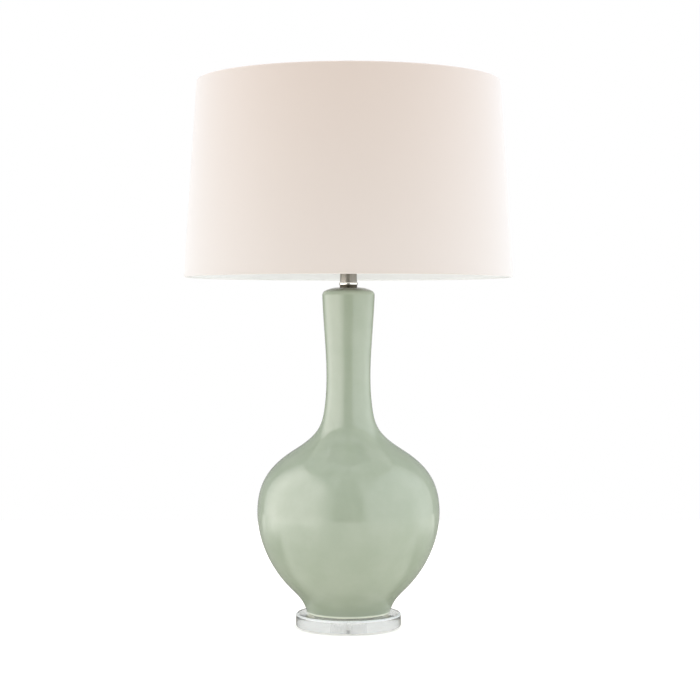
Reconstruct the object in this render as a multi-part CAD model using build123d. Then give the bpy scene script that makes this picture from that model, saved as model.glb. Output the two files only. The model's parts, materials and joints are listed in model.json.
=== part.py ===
from build123d import *
import os
from math import atan2, cos, degrees, radians, sin, sqrt

# Table lamp: a glazed long-necked vase on a clear disc, with a tapered drum shade on a harp.
# Millimetres, +Z up. The origin is on the table, under the middle of the disc. The front is -Y:
# the switch key points there, the cord hole is at +Y, and the harp lies in the XZ plane.

# Clearances
THREAD_GAP = 0.05  # radial, a nut or hub on the pipe
SLIP_GAP = 0.3  # a piece that slides past another
PASS_GAP = 0.25  # radial, a piece that the pipe passes through
SHAFT_GAP = 0.05  # radial, a turning shaft in its bearing

# Clear disc and its pads
PAD_R = 5.0
PAD_FOOT_R = 4.3
PAD_T = 1.6
PAD_CIRCLE_R = 52.0
PAD_COUNT = 4
PAD_START_ANGLE = 45.0
BASE_R = 68.5
BASE_T = 17.4
BASE_EDGE_R = 2.4
RECESS_R = 16.0  # under the disc, round the nut
RECESS_DEPTH = 8.6

# Threaded pipe and what clamps it
PIPE_R = 4.95
PIPE_BORE_R = 3.2
PIPE_BELOW_NUT = 2.4
PIPE_IN_HUB = 6.3
WASHER_R = 12.7
WASHER_T = 1.6
NUT_ACROSS_FLATS = 14.3
NUT_T = 3.2

# Vase, heights above its own foot
VASE_H = 424.8
VASE_WALL = 5.0
FOOT_R = 54.9
FOOT_ROUND = 3.4
FOOT_LEAN_ANGLE = 13.0  # how far the side leans out as it leaves the foot
FOOT_RING_W = 9.0
FOOT_HOLLOW_H = 3.0
FLOOR_T = 6.0
BELLY_R = 118.9
BELLY_H = 133.0
ROOT_R = 37.7  # where the shoulder turns up into the neck
ROOT_H = 243.5
WAIST_R = 28.7
WAIST_H = 305.0
LIP_R = 34.2
LIP_DROP = 10.4
LIP_ROUND = 6.7
LIP_TURN_ANGLE = 66.0
SEAT_R = 12.5  # flat on top, under the metal neck
CROWN_T = 6.5
CROWN_FLAT_R = 22.0
# The side between two of the stations above: (share of the way across, share of the way up)
RISE_TO_BELLY = [(0.073, 0.090), (0.364, 0.252), (0.764, 0.529)]
BELLY_TO_ROOT = [(0.123, 0.389), (0.468, 0.661), (0.821, 0.842)]
ROOT_TO_WAIST = [(0.70, 0.382)]
WAIST_TO_LIP = [(0.309, 0.430), (0.890, 0.878)]
INSET_POINTS = 22

# Cord hole low on the back of the vase
CORD_HOLE_H = 12.0
BUSHING_BORE_R = 3.5
BUSHING_BARREL_R = 4.9
BUSHING_FLANGE_R = 6.6
BUSHING_FLANGE_T = 1.6
BUSHING_BARREL_L = 6.6
BUSHING_STAND_OFF = 0.75  # the wall is curved and the flange is flat
BUSHING_GAP = 0.1

# Metal neck
NECK_RING_R = 11.4
NECK_RING_T = 3.2
NECK_RING_SPIGOT_H = 1.2
NECK_R = 11.0
NECK_WALL = 1.2
NECK_H = 17.8
NECK_BEAD_R = 12.2
NECK_BEAD_H = 3.4

# Harp: saddle, wire, locking sleeves and swivel stud
SADDLE_T = 1.3
SADDLE_W = 16.0
SADDLE_TAB_X = 31.2  # outer face of the upright tab
SADDLE_TAB_W = 5.5
SADDLE_TAB_H = 15.0
SADDLE_SHOULDER_H = 4.0
SADDLE_BEND_R = 2.6
HARP_H = 216.0  # saddle's underside to the shade's seat
HARP_WIRE_R = 1.8
HARP_HALF_W = 57.0
HARP_LEG_GAP = 0.05  # wire against the tab
HARP_LEG_FOOT_H = 4.5
HARP_LEG_STRAIGHT_H = 40.0
HARP_FLARE_H = 48.0
HARP_LOW_BEND_R = 30.0
HARP_HIGH_BEND_R = 40.0
HARP_TOP_BEND_R = 48.0
SLEEVE_WALL = 0.9
SLEEVE_H = 13.0
EYE_R = 6.5
EYE_T = 3.0
STUD_SHANK_R = 2.5
STUD_HEAD_R = 4.2
STUD_HEAD_T = 1.3
STUD_FLANGE_R = 6.0
STUD_FLANGE_T = 3.2
STUD_THREAD_R = 3.1
STUD_THREAD_L = 9.5
STUD_TIP_CHAMFER = 0.6

# Socket
CAP_HUB_R = 7.6
CAP_HUB_H = 7.8
CAP_HUB_FREE_H = 2.8  # hub below the cup
CAP_WALL = 0.7
CAP_R = 17.4
CAP_CUP_H = 10.0
CAP_SKIRT_H = 8.0
CAP_CUP_ROUND = 9.0
SET_SCREW_R = 1.4
SET_SCREW_L = 3.6
SET_SCREW_H = 1.6  # above the hub's foot
SHELL_WALL = 0.5
SHELL_LAP = 5.5  # shell inside the cap's skirt
SHELL_H = 50.5
SHELL_BEAD_HALF_H = 0.8
SHELL_BEAD_OUT = 0.5
LINER_T = 0.5
LINER_GAP = 0.15
LINER_INSET = 1.6  # liner shorter than the shell, each end
BODY_R = 15.0
BODY_H = 22.0
BODY_RISE = 10.0  # body's foot above the hub's top, room for the knot
BODY_WIRE_BORE_R = 3.0
TERMINAL_FLAT_X = 12.0
TERMINAL_FLAT_W = 12.0
TERMINAL_FLAT_H = 10.0
TERMINAL_HEAD_R = 3.1
TERMINAL_HEAD_T = 2.0
TERMINAL_SHANK_R = 1.6
TERMINAL_SHANK_L = 5.0
SCREW_SHELL_WALL = 0.5
SCREW_SHELL_H = 23.0
SCREW_SHELL_HOLE_R = 6.0
SCREW_SHELL_GAP = 0.4
CONTACT_R = 4.0
CONTACT_TIP_R = 2.0
CONTACT_H = 2.2

# Switch, on the socket's front
SWITCH_H = 13.0  # above the body's foot
SHAFT_R = 2.2
SHAFT_IN = 6.0  # inner end, from the lamp's axis
SHAFT_OUT = 31.0
SWITCH_SLOT_R = 3.4
KEY_BOSS_R = 4.4
KEY_BOSS_FROM = 20.5
KEY_BOSS_TO = 34.0
KEY_PADDLE_T = 3.0
KEY_PADDLE_W = 15.0
KEY_PADDLE_L = 18.0
KEY_PADDLE_ROUND = 6.0

# Bulb, heights above its tip
BULB_SEAT_GAP = 0.3
BULB_L = 108.0
BULB_R = 30.0
BULB_GLASS_T = 0.8
BULB_TIP_R = 4.4
BULB_TIP_H = 2.0
BULB_INSULATOR_R = 9.4
BULB_INSULATOR_CONE_H = 2.6
BULB_INSULATOR_H = 4.0
BULB_CAP_R = 13.1
BULB_CAP_WALL = 0.35
BULB_CAP_TOP = 25.0
BULB_CAP_CONE_H = 3.0
BULB_NECK_R = 12.4
BULB_NECK_FROM = 17.0
BULB_NECK_TO = 25.5
STEM_FLARE_GAP = 0.1
STEM_FLARE_T = 1.5
STEM_R = 4.5
STEM_TOP = 50.0
FILAMENT_R = 0.45
FILAMENT_FOOT_X = 3.0
FILAMENT_X = 11.0
FILAMENT_RISE = 20.0

# Shade
SHADE_BOTTOM_R = 214.0
SHADE_TOP_R = 197.0
SHADE_H = 254.4
SHADE_ABOVE_SEAT = 27.0
CLOTH_T = 0.6
LINER_SHEET_T = 0.6
GLUE_GAP = 0.05  # cloth to sheet
RING_WIRE_R = 1.55
RING_GAP = 0.25
HEM_W = 9.0  # cloth turned in over each ring
HEM_GAP = 0.05
HEM_WRAP = 20.0  # degrees past the side of the wire that the cloth hugs it
SHEET_CLEAR_OF_RING = 2.2
ARM_WIRE_R = 1.6
ARM_COUNT = 3
ARM_START_ANGLE = 90.0
ARM_FROM_R = 9.0
ARM_RISE_RUN = 22.0  # the arm climbs to the ring at 45 degrees
ARM_END_FLAT = 8.0
ARM_BEND_R = 8.0
SPIDER_WASHER_R = 12.0
SPIDER_WASHER_T = 1.2

# Finial
FINIAL_H = 25.0
FINIAL_BASE_R = 6.6
FINIAL_BASE_H = 1.8
FINIAL_NECK_R = 4.6
FINIAL_NECK_FROM = 5.0
FINIAL_BALL_R = 8.6
FINIAL_BORE_GAP = 0.1
FINIAL_BORE_PAST_STUD = 1.5

# Heights, added up from the table
base_top = PAD_T + BASE_T
recess_top = PAD_T + RECESS_DEPTH
nut_foot = recess_top - WASHER_T - NUT_T
vase_top = base_top + VASE_H
neck_foot = vase_top + NECK_RING_T
neck_top = neck_foot + NECK_H
saddle_foot = neck_top + NECK_RING_T
cap_foot = saddle_foot + SADDLE_T
hub_top = cap_foot + CAP_HUB_H
cup_top = cap_foot + CAP_HUB_FREE_H + CAP_CUP_H
skirt_top = cup_top + CAP_SKIRT_H
shell_foot = skirt_top - SHELL_LAP
shell_top = shell_foot + SHELL_H
body_foot = hub_top + BODY_RISE
body_top = body_foot + BODY_H
switch_z = body_foot + SWITCH_H
bulb_foot = body_top + CONTACT_H + BULB_SEAT_GAP
shade_seat = saddle_foot + HARP_H
eye_z = shade_seat - STUD_FLANGE_T - SLIP_GAP - EYE_T / 2
finial_foot = shade_seat + SPIDER_WASHER_T
shade_top_z = shade_seat + SHADE_ABOVE_SEAT
shade_bottom_z = shade_top_z - SHADE_H

# Sizes that follow from their neighbours
shell_r = CAP_R - CAP_WALL - LINER_GAP
liner_r = shell_r - SHELL_WALL - LINER_GAP
screw_shell_r = BULB_CAP_R + SCREW_SHELL_GAP + SCREW_SHELL_WALL
leg_x = SADDLE_TAB_X + HARP_LEG_GAP + HARP_WIRE_R
sleeve_x = (SADDLE_TAB_X - SADDLE_T + leg_x + HARP_WIRE_R) / 2
tab_reach = sqrt((sleeve_x - SADDLE_TAB_X + SADDLE_T) ** 2 + (SADDLE_TAB_W / 2) ** 2)
sleeve_bore_r = tab_reach + SLIP_GAP
roll_r = RING_WIRE_R + RING_GAP + CLOTH_T
sheet_depth = CLOTH_T + GLUE_GAP + LINER_SHEET_T  # of its inner face, in from the cloth's outer face


def turned(*edges):
    """A solid turned about Z. The closed outline is drawn as (radius, height)."""
    return revolve(Plane.XZ * make_face(Curve() + list(edges)), Axis.Z)


def ring(outer_r, inner_r, foot, height):
    """A plain ring, or a disc where the inner radius is 0."""
    section = Circle(outer_r) - Circle(inner_r) if inner_r else Circle(outer_r)
    return Pos(0, 0, foot) * extrude(section, height)


def rod(radius, start, end):
    """A round rod between two points."""
    axis = Vector(end) - Vector(start)
    return extrude(Plane(origin=start, z_dir=axis) * Circle(radius), axis.length)


def wire_sweep(radius, path):
    """A round wire along a path."""
    return sweep(Plane(origin=path @ 0, z_dir=path % 0) * Circle(radius), path)


def between(start, end, shares):
    """Points of an outline between two stations of it."""
    across, up = end[0] - start[0], end[1] - start[1]
    return [(start[0] + a * across, start[1] + u * up) for a, u in shares]


def inset(edge, wall):
    """The inner face's curve of a wall whose outer face is the given edge, drawn upwards."""
    points = []
    for step in range(INSET_POINTS + 1):
        at = edge @ (step / INSET_POINTS)
        along = edge % (step / INSET_POINTS)
        points.append((at.X - wall * along.Y, at.Y + wall * along.X))
    return Spline(*points)


# ---- base ----


def acrylic_base():
    disc = ring(BASE_R, 0, PAD_T, BASE_T)
    disc = fillet(disc.edges().filter_by(GeomType.CIRCLE), BASE_EDGE_R)
    disc -= ring(RECESS_R, 0, PAD_T, RECESS_DEPTH)
    return disc - ring(PIPE_R + PASS_GAP, 0, PAD_T, BASE_T)


def bumper_pads():
    pad = Pos(0, 0, PAD_T / 2) * Cone(PAD_FOOT_R, PAD_R, PAD_T)
    places = PolarLocations(PAD_CIRCLE_R, PAD_COUNT, PAD_START_ANGLE)
    return Compound([place * pad for place in places])


def lamp_pipe():
    foot = nut_foot - PIPE_BELOW_NUT
    return ring(PIPE_R, PIPE_BORE_R, foot, cap_foot + PIPE_IN_HUB - foot)


def pipe_washer():
    return ring(WASHER_R, PIPE_R + PASS_GAP, nut_foot + NUT_T, WASHER_T)


def pipe_nut():
    hexagon = RegularPolygon(NUT_ACROSS_FLATS / 2, 6, major_radius=False)
    return Pos(0, 0, nut_foot) * extrude(hexagon - Circle(PIPE_R + THREAD_GAP), NUT_T)


# ---- vase ----


def vase_side():
    """The rounded foot edge and the side above it, up to the lip."""
    turn = 90 - FOOT_LEAN_ANGLE
    start = (FOOT_R - FOOT_ROUND * sin(radians(turn)), 0)
    edge = JernArc(start=start, tangent=(1, 0), radius=FOOT_ROUND, arc_size=turn)
    foot = ((edge @ 1).X, (edge @ 1).Y)
    belly, root, waist = (BELLY_R, BELLY_H), (ROOT_R, ROOT_H), (WAIST_R, WAIST_H)
    lip = (LIP_R, VASE_H - LIP_DROP)
    knots = [foot, *between(foot, belly, RISE_TO_BELLY)]
    knots += [belly, *between(belly, root, BELLY_TO_ROOT)]
    knots += [root, *between(root, waist, ROOT_TO_WAIST)]
    knots += [waist, *between(waist, lip, WAIST_TO_LIP), lip]
    return edge, Spline(*knots)


def cord_hole_plane():
    """On the wall's outer face at the back, with Z straight out of the wall."""
    side = vase_side()[1]
    low, high = 0.0, 0.5
    for _ in range(40):
        middle = (low + high) / 2
        low, high = (middle, high) if (side @ middle).Y < CORD_HOLE_H else (low, middle)
    at, along = side @ low, side % low
    return Plane(origin=(0, at.X, base_top + at.Y), x_dir=(1, 0, 0), z_dir=(0, along.Y, -along.X))


def vase_body():
    edge, side = vase_side()
    lip = JernArc(start=side @ 1, tangent=side % 1, radius=LIP_ROUND, arc_size=LIP_TURN_ANGLE)
    crown = TangentArc(lip @ 1, (SEAT_R, VASE_H), tangent=lip % 1)
    ring_inner_r = FOOT_R - FOOT_RING_W
    top = Line(crown @ 1, (0, VASE_H))
    foot = Polyline(
        (0, VASE_H), (0, FOOT_HOLLOW_H), (ring_inner_r, FOOT_HOLLOW_H), (ring_inner_r, 0), edge @ 0
    )
    outside = turned(edge, side, lip, crown, top, foot)

    inner_side = inset(side, VASE_WALL)
    ceiling = (0, VASE_H - CROWN_T)
    inner_top = Polyline(inner_side @ 1, (CROWN_FLAT_R, VASE_H - CROWN_T), ceiling)
    inner_foot = Polyline(ceiling, (0, (inner_side @ 0).Y), inner_side @ 0)
    inside = turned(inner_side, inner_top, inner_foot)
    inside = split(inside, Plane.XY.offset(FOOT_HOLLOW_H + FLOOR_T), keep=Keep.TOP)

    vase = Pos(0, 0, base_top) * (outside - inside)
    vase -= ring(PIPE_R + PASS_GAP, 0, base_top, VASE_H)
    hole = extrude(cord_hole_plane() * Circle(BUSHING_BARREL_R + BUSHING_GAP), 2 * VASE_WALL, both=True)
    return vase - hole


def cord_bushing():
    flange = extrude(Circle(BUSHING_FLANGE_R), BUSHING_FLANGE_T)
    flange = chamfer(flange.edges().group_by(Axis.Z)[-1], BUSHING_FLANGE_T / 2)
    barrel = extrude(Circle(BUSHING_BARREL_R), -BUSHING_BARREL_L)
    bore = extrude(Circle(BUSHING_BORE_R), BUSHING_BARREL_L + BUSHING_FLANGE_T, both=True)
    return cord_hole_plane().offset(BUSHING_STAND_OFF) * (flange + barrel - bore)


# ---- metal neck ----


def neck_rings():
    """The rings that centre the neck tube, one below it and one above, upside down."""
    plate = ring(NECK_RING_R, PIPE_R + PASS_GAP, 0, NECK_RING_T)
    spigot_r = NECK_R - NECK_WALL - PASS_GAP
    spigot = ring(spigot_r, PIPE_R + PASS_GAP, NECK_RING_T, NECK_RING_SPIGOT_H)
    one = plate + spigot
    lower = Pos(0, 0, vase_top) * one
    upper = Pos(0, 0, saddle_foot) * Rot(180, 0, 0) * one
    return Compound([lower, upper])


def lamp_neck():
    """A spun tube with a round bead at its foot."""
    inner_r = NECK_R - NECK_WALL
    bead = ThreePointArc((NECK_R, 0), (NECK_BEAD_R, NECK_BEAD_H / 2), (NECK_R, NECK_BEAD_H))
    rest = Polyline((NECK_R, NECK_BEAD_H), (NECK_R, NECK_H), (inner_r, NECK_H), (inner_r, 0), (NECK_R, 0))
    return Pos(0, 0, neck_foot) * turned(bead, rest)


# ---- harp ----


def harp_saddle():
    """A strip across the pipe, bent up at both ends into narrower tabs."""
    half, tall = SADDLE_TAB_X, SADDLE_T + SADDLE_TAB_H
    outer = Pos(0, tall) * Rectangle(2 * half, 2 * tall)
    outer = fillet(outer.vertices().group_by(Axis.Y)[0], SADDLE_BEND_R + SADDLE_T)
    inner = Pos(0, tall + SADDLE_T) * Rectangle(2 * (half - SADDLE_T), 2 * tall)
    inner = fillet(inner.vertices().group_by(Axis.Y)[0], SADDLE_BEND_R)
    above = Pos(0, 1.5 * tall) * Rectangle(2 * half, tall)
    strip = extrude(Plane.XZ * (outer - inner - above), SADDLE_W / 2, both=True)
    for side in (-1, 1):
        notch = Box(4 * half, SADDLE_W, tall, align=(Align.CENTER, Align.MIN, Align.MIN))
        turn = 0 if side > 0 else 180
        strip -= Rot(0, 0, turn) * Pos(0, SADDLE_TAB_W / 2, SADDLE_SHOULDER_H) * notch
    strip -= ring(PIPE_R + PASS_GAP, 0, -SADDLE_T, 3 * SADDLE_T)
    return Pos(0, 0, saddle_foot) * strip


def harp_wire():
    """One wire from tab to tab, with a pierced eye at the top."""
    foot = saddle_foot + HARP_LEG_FOOT_H
    bend = saddle_foot + HARP_LEG_STRAIGHT_H
    wide = bend + HARP_FLARE_H
    half = [(leg_x, foot), (leg_x, bend), (HARP_HALF_W, wide), (HARP_HALF_W, eye_z)]
    points = half + [(-x, z) for x, z in reversed(half)]
    radii = [HARP_LOW_BEND_R, HARP_HIGH_BEND_R, HARP_TOP_BEND_R]
    path = FilletPolyline(*[(x, 0, z) for x, z in points], radius=radii + radii[::-1])
    wire = wire_sweep(HARP_WIRE_R, path)
    eye = ring(EYE_R, 0, eye_z - EYE_T / 2, EYE_T)
    pierced = ring(STUD_SHANK_R + SHAFT_GAP, 0, eye_z - EYE_R, 2 * EYE_R)
    clear = ring(EYE_R, 0, eye_z + EYE_T / 2, HARP_WIRE_R) + ring(EYE_R, 0, eye_z - EYE_T / 2, -HARP_WIRE_R)
    return wire - clear + eye - pierced


def harp_sleeve(side):
    """The sleeve that locks one leg of the wire to its tab."""
    foot = saddle_foot + SADDLE_SHOULDER_H + SLIP_GAP
    tube = ring(sleeve_bore_r + SLEEVE_WALL, sleeve_bore_r, foot, SLEEVE_H)
    outer_edges = tube.edges().filter_by(GeomType.CIRCLE).group_by(SortBy.RADIUS)[-1]
    return Pos(side * sleeve_x, 0, 0) * chamfer(outer_edges, SLEEVE_WALL / 2)


def harp_stud():
    """The swivel: a headed shank through the eye, the shade's seat and the finial's thread."""
    eye_foot = eye_z - EYE_T / 2 - SLIP_GAP
    flange_foot = shade_seat - STUD_FLANGE_T
    stud = ring(STUD_HEAD_R, 0, eye_foot - STUD_HEAD_T, STUD_HEAD_T)
    stud += ring(STUD_SHANK_R, 0, eye_foot, flange_foot - eye_foot)
    stud += ring(STUD_FLANGE_R, 0, flange_foot, STUD_FLANGE_T)
    thread = ring(STUD_THREAD_R, 0, shade_seat, STUD_THREAD_L)
    return stud + chamfer(thread.edges().group_by(Axis.Z)[-1], STUD_TIP_CHAMFER)


# ---- socket ----


def socket_cap():
    """The cup at the foot of the socket, with its threaded hub."""
    cup_foot = CAP_HUB_FREE_H
    cup_side = cup_foot + CAP_CUP_H
    inner_hub_r = CAP_HUB_R - CAP_WALL
    bore_r = PIPE_R + THREAD_GAP
    outer = FilletPolyline(
        (CAP_HUB_R, cup_foot), (CAP_R, cup_foot + CAP_WALL), (CAP_R, cup_side), radius=CAP_CUP_ROUND
    )
    inner = FilletPolyline(
        (CAP_R - CAP_WALL, cup_side),
        (CAP_R - CAP_WALL, cup_foot + 2 * CAP_WALL),
        (inner_hub_r, cup_foot + CAP_WALL),
        radius=CAP_CUP_ROUND - CAP_WALL,
    )
    skirt = Polyline(
        outer @ 1,
        (CAP_R, cup_side + CAP_SKIRT_H),
        (CAP_R - CAP_WALL, cup_side + CAP_SKIRT_H),
        inner @ 0,
    )
    hub = Polyline(
        inner @ 1, (inner_hub_r, CAP_HUB_H), (bore_r, CAP_HUB_H), (bore_r, 0), (CAP_HUB_R, 0), outer @ 0
    )
    cap = Pos(0, 0, cap_foot) * turned(outer, skirt, inner, hub)
    z = cap_foot + SET_SCREW_H
    return cap - rod(SET_SCREW_R + THREAD_GAP, (0, 0, z), (0, 2 * CAP_HUB_R, z))


def cap_set_screw():
    z = cap_foot + SET_SCREW_H
    start = PIPE_R + SHAFT_GAP
    screw = rod(SET_SCREW_R, (0, start, z), (0, start + SET_SCREW_L, z))
    slot = Pos(0, start + SET_SCREW_L, z) * Box(SET_SCREW_R / 3, SET_SCREW_R, 3 * SET_SCREW_R)
    return screw - slot


def switch_slot(lowest):
    """The space that the shaft's slot takes out of a wall, open at the foot."""
    hole = rod(SWITCH_SLOT_R, (0, 0, switch_z), (0, -2 * CAP_R, switch_z))
    drop = switch_z - lowest
    slot = Box(2 * SWITCH_SLOT_R, 2 * CAP_R, drop, align=(Align.CENTER, Align.MAX, Align.MAX))
    return hole + Pos(0, 0, switch_z) * slot


def socket_shell():
    """The shell, with a bead over the cap's rim and a rolled mouth."""
    r, inner_r = shell_r, shell_r - SHELL_WALL
    half = SHELL_BEAD_HALF_H

    def bulge(z):
        return ThreePointArc((r, z - half), (r + SHELL_BEAD_OUT, z), (r, z + half))

    bead, mouth = bulge(SHELL_LAP + half), bulge(SHELL_H - half)
    lower = Line((r, 0), bead @ 0)
    middle = Line(bead @ 1, mouth @ 0)
    rest = Polyline(mouth @ 1, (inner_r, SHELL_H), (inner_r, 0), (r, 0))
    shell = Pos(0, 0, shell_foot) * turned(lower, bead, middle, mouth, rest)
    return shell - switch_slot(shell_foot)


def socket_liner():
    foot = shell_foot + LINER_INSET
    liner = ring(liner_r, liner_r - LINER_T, foot, SHELL_H - 2 * LINER_INSET)
    return liner - switch_slot(foot)


def socket_body():
    """The moulded insulator, with flats for its terminals and a bearing for the shaft."""
    body = ring(BODY_R, 0, body_foot, BODY_H)
    terminal_z = body_foot + TERMINAL_FLAT_H / 2
    for side in (-1, 1):
        notch = Box(BODY_R, TERMINAL_FLAT_W, TERMINAL_FLAT_H)
        body -= Pos(side * (TERMINAL_FLAT_X + BODY_R / 2), 0, terminal_z) * notch
        body -= rod(
            TERMINAL_SHANK_R + THREAD_GAP,
            (side * (TERMINAL_FLAT_X - TERMINAL_SHANK_L), 0, terminal_z),
            (side * BODY_R, 0, terminal_z),
        )
    bearing_end = SHAFT_IN - SLIP_GAP
    body -= rod(SHAFT_R + SHAFT_GAP, (0, -bearing_end, switch_z), (0, -2 * BODY_R, switch_z))
    return body - ring(BODY_WIRE_BORE_R, 0, body_foot, BODY_H / 3)


def terminal_screws():
    z = body_foot + TERMINAL_FLAT_H / 2
    screws = []
    for side in (-1, 1):
        inner = side * (TERMINAL_FLAT_X - TERMINAL_SHANK_L)
        face = side * TERMINAL_FLAT_X
        outer = side * (TERMINAL_FLAT_X + TERMINAL_HEAD_T)
        head = rod(TERMINAL_HEAD_R, (face, 0, z), (outer, 0, z))
        slot = Pos(outer, 0, z) * Box(TERMINAL_HEAD_T, 3 * TERMINAL_HEAD_R, TERMINAL_HEAD_R / 4)
        screws.append(rod(TERMINAL_SHANK_R, (inner, 0, z), (face, 0, z)) + head - slot)
    return Compound(screws)


def screw_shell():
    tube = ring(screw_shell_r, screw_shell_r - SCREW_SHELL_WALL, body_top, SCREW_SHELL_H)
    return tube + ring(screw_shell_r, SCREW_SHELL_HOLE_R, body_top, SCREW_SHELL_WALL)


def centre_contact():
    face = Plane.XY.offset(body_top)
    tip = Plane.XY.offset(body_top + CONTACT_H)
    return loft([face * Circle(CONTACT_R), tip * Circle(CONTACT_TIP_R)])


# ---- switch ----


def switch_shaft():
    return rod(SHAFT_R, (0, -SHAFT_IN, switch_z), (0, -SHAFT_OUT, switch_z))


def switch_key():
    """A flat thumb key on a round boss."""
    boss = rod(KEY_BOSS_R, (0, -KEY_BOSS_FROM, switch_z), (0, -KEY_BOSS_TO, switch_z))
    boss = chamfer(boss.edges().group_by(Axis.Y)[0], KEY_BOSS_R / 3)
    outline = RectangleRounded(KEY_PADDLE_W, KEY_PADDLE_L, KEY_PADDLE_ROUND)
    paddle = extrude(outline, KEY_PADDLE_T / 2, both=True)
    paddle = chamfer(paddle.faces().filter_by(Axis.Z).edges(), KEY_PADDLE_T / 4)
    boss += Pos(0, -KEY_BOSS_TO - KEY_PADDLE_L / 4, switch_z) * paddle
    return boss - rod(SHAFT_R + SHAFT_GAP, (0, 0, switch_z), (0, -SHAFT_OUT - SHAFT_GAP, switch_z))


# ---- bulb ----


def bulb_tip():
    dome = ThreePointArc((0, 0), (BULB_TIP_R * 0.7, BULB_TIP_H * 0.3), (BULB_TIP_R, BULB_TIP_H))
    rest = Polyline((BULB_TIP_R, BULB_TIP_H), (0, BULB_TIP_H), (0, 0))
    return Pos(0, 0, bulb_foot) * turned(dome, rest)


def bulb_insulator():
    cone_top = BULB_TIP_H + BULB_INSULATOR_CONE_H
    top = BULB_TIP_H + BULB_INSULATOR_H
    outline = Polyline(
        (0, BULB_TIP_H), (BULB_TIP_R, BULB_TIP_H), (BULB_INSULATOR_R, cone_top), (BULB_INSULATOR_R, top),
        (0, top), (0, BULB_TIP_H),
    )
    return Pos(0, 0, bulb_foot) * turned(outline)


def bulb_cap():
    low_r = BULB_INSULATOR_R + SHAFT_GAP
    low = BULB_TIP_H + BULB_INSULATOR_CONE_H + SHAFT_GAP
    side = low + BULB_CAP_CONE_H
    inner_r = BULB_CAP_R - BULB_CAP_WALL
    outline = Polyline(
        (low_r, low), (BULB_CAP_R, side), (BULB_CAP_R, BULB_CAP_TOP), (inner_r, BULB_CAP_TOP),
        (inner_r, side + BULB_CAP_WALL), (low_r, low + BULB_CAP_WALL), (low_r, low),
    )
    return Pos(0, 0, bulb_foot) * turned(outline)


def bulb_outline(depth):
    """Neck, flare and ball of the glass, at a depth in from its outer face."""
    drop = BULB_L - BULB_R - BULB_NECK_TO
    flare_r = (BULB_NECK_R**2 + drop**2 - BULB_R**2) / (2 * (BULB_R - BULB_NECK_R))
    turn = degrees(atan2(drop, BULB_NECK_R + flare_r))
    neck = Line((BULB_NECK_R - depth, BULB_NECK_FROM), (BULB_NECK_R - depth, BULB_NECK_TO))
    flare = JernArc(start=neck @ 1, tangent=(0, 1), radius=flare_r + depth, arc_size=-turn)
    ball = JernArc(start=flare @ 1, tangent=flare % 1, radius=BULB_R - depth, arc_size=90 + turn)
    return neck, flare, ball


def bulb_glass():
    outside, inside = bulb_outline(0), bulb_outline(BULB_GLASS_T)
    top = Line(outside[-1] @ 1, inside[-1] @ 1)
    foot = Line(inside[0] @ 0, outside[0] @ 0)
    return Pos(0, 0, bulb_foot) * turned(*outside, top, *inside, foot)


def bulb_stem():
    foot = bulb_foot + BULB_NECK_FROM
    flare = ring(BULB_NECK_R - BULB_GLASS_T - STEM_FLARE_GAP, 0, foot, STEM_FLARE_T)
    return flare + ring(STEM_R, 0, foot, STEM_TOP - BULB_NECK_FROM)


def bulb_filament():
    foot = bulb_foot + STEM_TOP
    top = foot + FILAMENT_RISE
    half = [(FILAMENT_FOOT_X, 0, foot), (FILAMENT_X, 0, top)]
    path = Polyline(*half, *[(-x, y, z) for x, y, z in reversed(half)])
    section = Plane(origin=path @ 0, z_dir=path % 0) * Circle(FILAMENT_R)
    wire = sweep(section, path, transition=Transition.ROUND)
    return split(wire, Plane.XY.offset(foot), keep=Keep.TOP)


# ---- shade ----


def wall_r(z, depth=0.0):
    """The shade's radius at a height, at a depth in from its outer face."""
    share = (z - shade_bottom_z) / SHADE_H
    return SHADE_BOTTOM_R + share * (SHADE_TOP_R - SHADE_BOTTOM_R) - depth


def roll_centre(up):
    """Middle of the wire in the top hem (up = 1) or the bottom hem (up = -1)."""
    z = shade_top_z - roll_r if up > 0 else shade_bottom_z + roll_r
    return wall_r(z) - roll_r, z


def hem(up):
    """The cloth's outline round one ring wire, from its outer face to its inner face."""
    x, z = roll_centre(up)
    core_r = roll_r - CLOTH_T
    wrap = radians(HEM_WRAP)
    leave_outside = (x - roll_r * cos(wrap), z - up * roll_r * sin(wrap))
    leave_inside = (x - core_r * cos(wrap), z - up * core_r * sin(wrap))
    over = ThreePointArc((x + roll_r, z), (x, z + up * roll_r), leave_outside)
    end_z = z - up * HEM_W
    depth = sheet_depth + HEM_GAP
    end_outside, end_inside = (wall_r(end_z, depth + CLOTH_T), end_z), (wall_r(end_z, depth), end_z)
    turned_in = Polyline(leave_outside, end_outside, end_inside, leave_inside)
    under = ThreePointArc(leave_inside, (x, z + up * core_r), (x + core_r, z))
    return [over, turned_in, under]


def arm_turns():
    return [ARM_START_ANGLE + 360 / ARM_COUNT * n for n in range(ARM_COUNT)]


def shade_cover():
    """The cloth: a cone whose two edges roll in over the rings, notched for the arms."""
    (top_x, top_z), (low_x, low_z) = roll_centre(1), roll_centre(-1)
    core_r = roll_r - CLOTH_T
    outer = Line((low_x + roll_r, low_z), (top_x + roll_r, top_z))
    inner = Line((top_x + core_r, top_z), (low_x + core_r, low_z))
    cloth = turned(outer, *hem(1), inner, *hem(-1))
    half = ARM_WIRE_R + SLIP_GAP
    slit = Box(HEM_W, 2 * half, HEM_W + 2 * half, align=(Align.MAX, Align.CENTER, Align.MAX))
    notch = Pos(top_x, 0, top_z + half) * slit
    for turn in arm_turns():
        cloth -= Rot(0, 0, turn) * notch
    return cloth


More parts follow.
